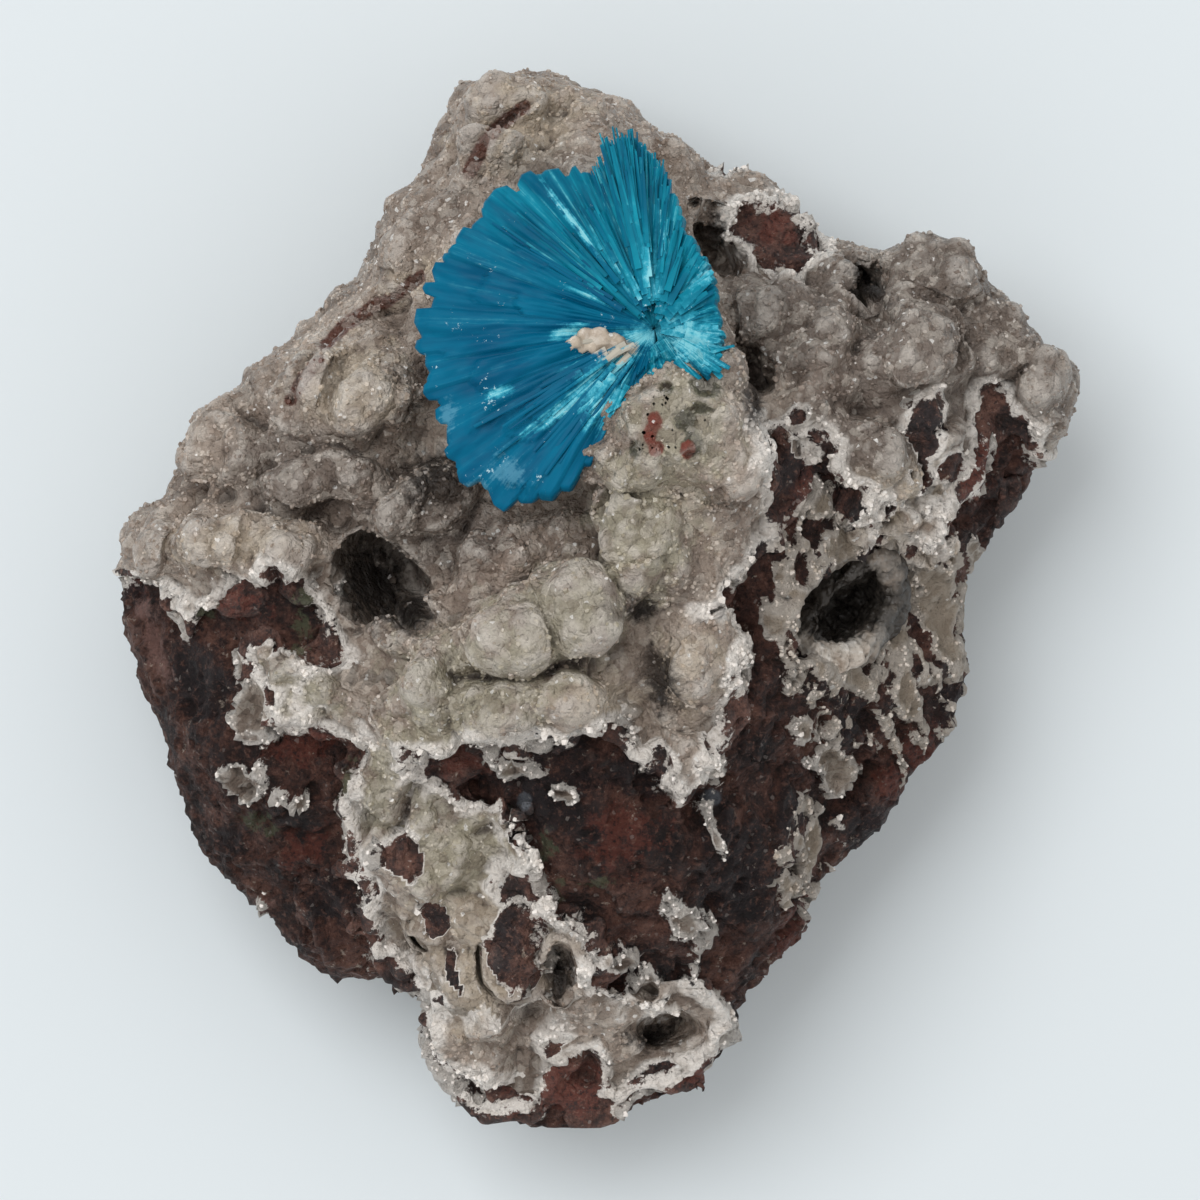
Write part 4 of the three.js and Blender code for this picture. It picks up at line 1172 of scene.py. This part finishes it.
def shapeFibres(tree):
    random.seed(41)
    corners, faces = taperedCrystal(fibres["tip"], lying=True)
    copies, azimuths, radii = [], [], []
    for number, angles, starts, shares, widths, heights in fibres["groups"]:
        for _ in range(number):
            azimuth = random.uniform(*angles)
            start = random.uniform(*starts)
            stop = float(fanReach(azimuth)) * random.uniform(*shares)
            if stop < start + 1.0:
                continue
            width = random.uniform(*widths)
            lift = random.uniform(*heights)
            veer = random.uniform(-0.05, 0.05)
            x = start + corners[:, 0] * (stop - start)
            y = corners[:, 1] * width * 1.6 + (corners[:, 0] - 0.5) * veer * (stop - start)
            z = corners[:, 2] * width * 0.6 + lift + corners[:, 0] * random.uniform(-0.25, 0.35)
            a = math.radians(azimuth)
            local = np.stack([x * math.cos(a) - y * math.sin(a), x * math.sin(a) + y * math.cos(a), z], 1)
            if spots(fanToRock(local.mean(0)[None]), fan["patch"])[0] > -0.6:
                continue
            copies.append(local)
            azimuths += [azimuth + random.uniform(-40, 40)] * len(corners)
            radii += x.tolist()
    copies = [fanToRock(local) for local in copies]
    copies = [sunk(local, tree) for local in copies]
    piece = joinCopies("cavansite_fibres", copies, faces)
    where = points(piece)
    settle(piece, where)
    paintFan(piece, where, np.array(azimuths), np.array(radii))
    return piece


capped = {
    "middle": (647, 325),
    "lowest": 28,
    "lengths": (1.0, 2.6),
    "widths": (0.25, 0.62),
    # u, v, half width, half height, how many
    "places": ((684, 346, 34, 20, 70), (703, 360, 14, 12, 22), (620, 382, 24, 14, 26),
               (652, 362, 26, 12, 40), (617, 412, 4, 8, 3), (706, 275, 8, 15, 16), (704, 318, 6, 18, 18)),
}


def shapeCap(tree):
    # short bright blades grown over the knob and beside the fan
    random.seed(43)
    corners, faces = taperedCrystal(fibres["tip"], lying=True)
    copies = []
    mu, mv = capped["middle"]
    for u, v, halfWidth, halfHeight, number in capped["places"]:
        for _ in range(number):
            pu = u + random.gauss(0, 0.5) * halfWidth
            pv = v + random.gauss(0, 0.5) * halfHeight
            x, y = plan(pu, pv)
            hit, normal = dropOnto(tree, x, y)
            if hit is None or hit.z < capped["lowest"]:
                continue
            away = math.atan2(mv - pv, pu - mu) + random.uniform(-0.4, 0.4)
            along = Vector((math.cos(away), math.sin(away), 0))
            along = (along - normal * along.dot(normal) * 0.9).normalized()
            side = normal.cross(along).normalized()
            up = along.cross(side)
            length = random.uniform(*capped["lengths"])
            width = random.uniform(*capped["widths"])
            local = ((corners[:, :1] - 0.5) * length * np.array(along)
                     + corners[:, 1:2] * width * np.array(side)
                     + corners[:, 2:3] * width * 0.28 * np.array(up))
            copies.append(local + np.array(hit) + np.array(normal) * random.uniform(0.0, 0.28))
    piece = joinCopies("cavansite_cap", copies, faces)
    where = points(piece)
    settle(piece, where)
    cu, cv = plan(mu, mv)
    azimuth = np.degrees(np.arctan2(where[:, 1] - cv, where[:, 0] - cu))
    paintFan(piece, where, azimuth, np.hypot(where[:, 1] - cv, where[:, 0] - cu))
    return piece


def cavansiteLook():
    look = Look("cavansite")
    around, outward = look.mark("around"), look.mark("outward")
    polar = look.node("ShaderNodeCombineXYZ", {}, {0: around * 0.00045, 1: outward * 0.00006, 2: 0.0})
    rays = look.noise(1.0, 5.0, 0.7, polar)
    wide = look.node("ShaderNodeCombineXYZ", {}, {0: around * 0.00012, 1: outward * 0.00016, 2: 0.004})
    clouds = look.noise(1.0, 4.0, 0.6, wide)
    fine = look.noise(0.6, 5.0, 0.7)
    fibrous = look.step(around, 175.0, 110.0)
    deep = look.mix(fibrous, (0.0001, 0.108, 0.212), (0.0003, 0.138, 0.228))
    light = look.mix(fibrous, (0.0005, 0.170, 0.300), (0.008, 0.300, 0.420))
    # lighter blue where the rays and clouds run high: partly the mineral's own tone, partly painted sheen
    shine = look.step(rays * 0.6 + clouds * 0.8, 0.56, 0.92) * (0.7 + 0.3 * fibrous)
    colour = look.mix(shine, deep, light)
    colour = look.over(colour, rays, 0.42, 0.2, fibrous * 0.5 + 0.15, (0.0005, 0.040, 0.090))
    colour = look.over(colour, clouds, 0.5, 0.32, 0.35, (0.0002, 0.060, 0.150))
    # painted sheen: light cyan streaks along the fibres
    streak = look.step(rays * 1.0 + fine * 0.25, 0.70, 0.86)
    colour = look.mix(streak * (fibrous * 0.6 + 0.15), colour, (0.16, 0.62, 0.70))
    flecks = look.noise(0.35, 5.0, 0.75)
    wander = (fine - 0.5) * 1.4 + (rays - 0.5) * 2.2 + (flecks - 0.5) * 0.9
    # lighter cyan patches near the fan's root: partly the mineral's own colour, partly painted highlight
    colour = look.over(colour, look.mark("cyan") + wander, 0.05, 0.75, 1.0, (0.045, 0.43, 0.58))
    colour = look.over(colour, look.mark("cyan") + wander * 1.2, 0.45, 1.0, 0.85, (0.28, 0.70, 0.78))
    colour = look.over(colour, look.mark("frost") + wander * 1.3, 0.15, 0.8, 0.5, (0.12, 0.36, 0.50))
    # painted highlights: small bright specks
    specks = look.step(flecks + (look.noise(2.5, 2.0, 0.5) - 0.5) * 0.6, 0.70, 0.74)
    colour = look.mix(specks * 0.8, colour, (0.55, 0.78, 0.84))
    colour = look.over(colour, look.mark("patch") + wander * 0.6, 0.05, 0.3, 1.0, (0.50, 0.47, 0.40))
    surface = look.bump(rays * fibrous + rays * 0.35 + fine * 0.25, 0.06)
    return look.finish({
        "Base Color": colour,
        "Roughness": look.step(clouds, 0.3, 0.7) * 0.2 + 0.38,
        "Specular IOR Level": 0.08,
        "Normal": surface,
    })


blue = cavansiteLook()
fanBody = shapeFan()
fanTree = surfaceTree(fanBody)
fanFibres = shapeFibres(fanTree)
cap = shapeCap(druseTree)
finishPiece(fanBody, blue, "cavansite", "cavansite_spray")
finishPiece(cap, blue, "cavansite", smooth=False)
finishPiece(fanFibres, blue, "cavansite", smooth=False)
print("cavansite ready")


# Crust patch on the fan

# u, v, radius of its lumps
patched = ((576, 345, 0.42), (583, 343, 0.55), (591, 341, 0.62), (600, 342, 0.66), (608, 345, 0.58),
           (616, 349, 0.42), (623, 353, 0.3), (588, 349, 0.4))


def shapePatch(tree):
    # a low smooth bit of crust that lies on the blades
    random.seed(47)
    bm = bmesh.new()
    for u, v, radius in patched:
        hit, _ = dropOnto(tree, *plan(u, v))
        for _ in range(5):
            x, y = random.uniform(-0.4, 0.4), random.uniform(-0.3, 0.3)
            aside = Vector((x, y, random.uniform(-0.15, 0.05)))
            addBlob(bm, hit + aside, radius * random.uniform(0.7, 1.0), 0.34, 2)
    piece = remeshed(bm, "stilbite_on_fan", 0.11)
    smoothed(piece, 3)
    where, facing = points(piece), normals(piece)
    where = where + facing * (0.07 * swell(where, 0.9, 6.0, 3) + 0.03 * chips(where, 0.35, 3.0))[:, None]
    settle(piece, where)
    paintGround(piece, where, np.full(len(where), -2.5), np.full(len(where), -0.12))
    return piece


speckled = shapePatch(fanTree)
finishPiece(speckled, grown, "stilbite")


# Cavity lining

lining = {
    "voxel": 0.2,
    "grains": ((260, 0.45, 0.8), (900, 0.2, 0.4)),  # how many, least and most radius
    "lowest": 11.3,
    # a painted shadow on the cavity's upper left: u, v, half width, half height, turn
    "paintedShadow": ((838, 596, 46, 58, -35),),
}


def shapeLining():
    random.seed(53)
    piece = remeshed(meshFromNode("vug_lining"), "cavity_lining", lining["voxel"])
    smoothed(piece, 4)
    where, facing = points(piece), normals(piece)
    height = np.zeros(len(where))
    everywhere = np.ones(len(where), bool)
    for number, least, most in lining["grains"]:
        height += nodules(where, number, (least, most), 0.5, 0.5, everywhere)
    height += 0.35 * swell(where, 2.2, 9.0, 3)
    radial = (where - where.mean(0))[:, :2]
    radial /= np.maximum(np.linalg.norm(radial, axis=1), 0.1)[:, None]
    height += 0.3 * unit((facing[:, :2] * radial).sum(1) * 2)
    where = where + facing * height[:, None]
    # the rim is broken down all round but for the lower right
    middle = where.mean(0)
    side = (where[:, 0] - middle[0]) * 0.75 - (where[:, 1] - middle[1]) * 0.65
    rim = unit((where[:, 2] - 18) / 6)
    where[:, 2] -= rim * (3.9 - 0.9 * side.clip(-3, 3) + 1.3 * swell(where, 2.2, 2.0, 3))
    where[:, 2] = np.maximum(where[:, 2], lining["lowest"])
    settle(piece, where)
    # painted shade, darker the lower a point lies in the cavity
    low = unit((where[:, 2].max() - where[:, 2]) / 5)
    paint(piece, "depth", np.maximum(low, spots(where, lining["paintedShadow"]) * 3))
    return piece


def liningLook():
    look = Look("lining")
    cloud = look.noise(1.6, 5.0, 0.65)
    fine = look.noise(0.4, 4.0, 0.6)
    colour = look.ramp(cloud, ((0.3, (0.30, 0.24, 0.19)), (0.5, (0.55, 0.50, 0.44)),
                               (0.66, (0.78, 0.75, 0.70))))
    colour = look.over(colour, fine, 0.6, 0.75, 0.6, (0.86, 0.85, 0.82))
    # painted shade, nearly black, deep in the cavity
    colour = look.over(colour, look.mark("depth") + (cloud - 0.5), 0.15, 0.75, 0.93, (0.012, 0.009, 0.007))
    surface = look.bump(1.0 - look.cells(0.4), 0.12, look.glints(0.24, 0.7))
    return look.finish({
        "Base Color": colour,
        "Roughness": 0.55 - fine * 0.3,
        "Normal": surface,
    })


finishPiece(shapeLining(), liningLook(), "lining", "vug_lining")
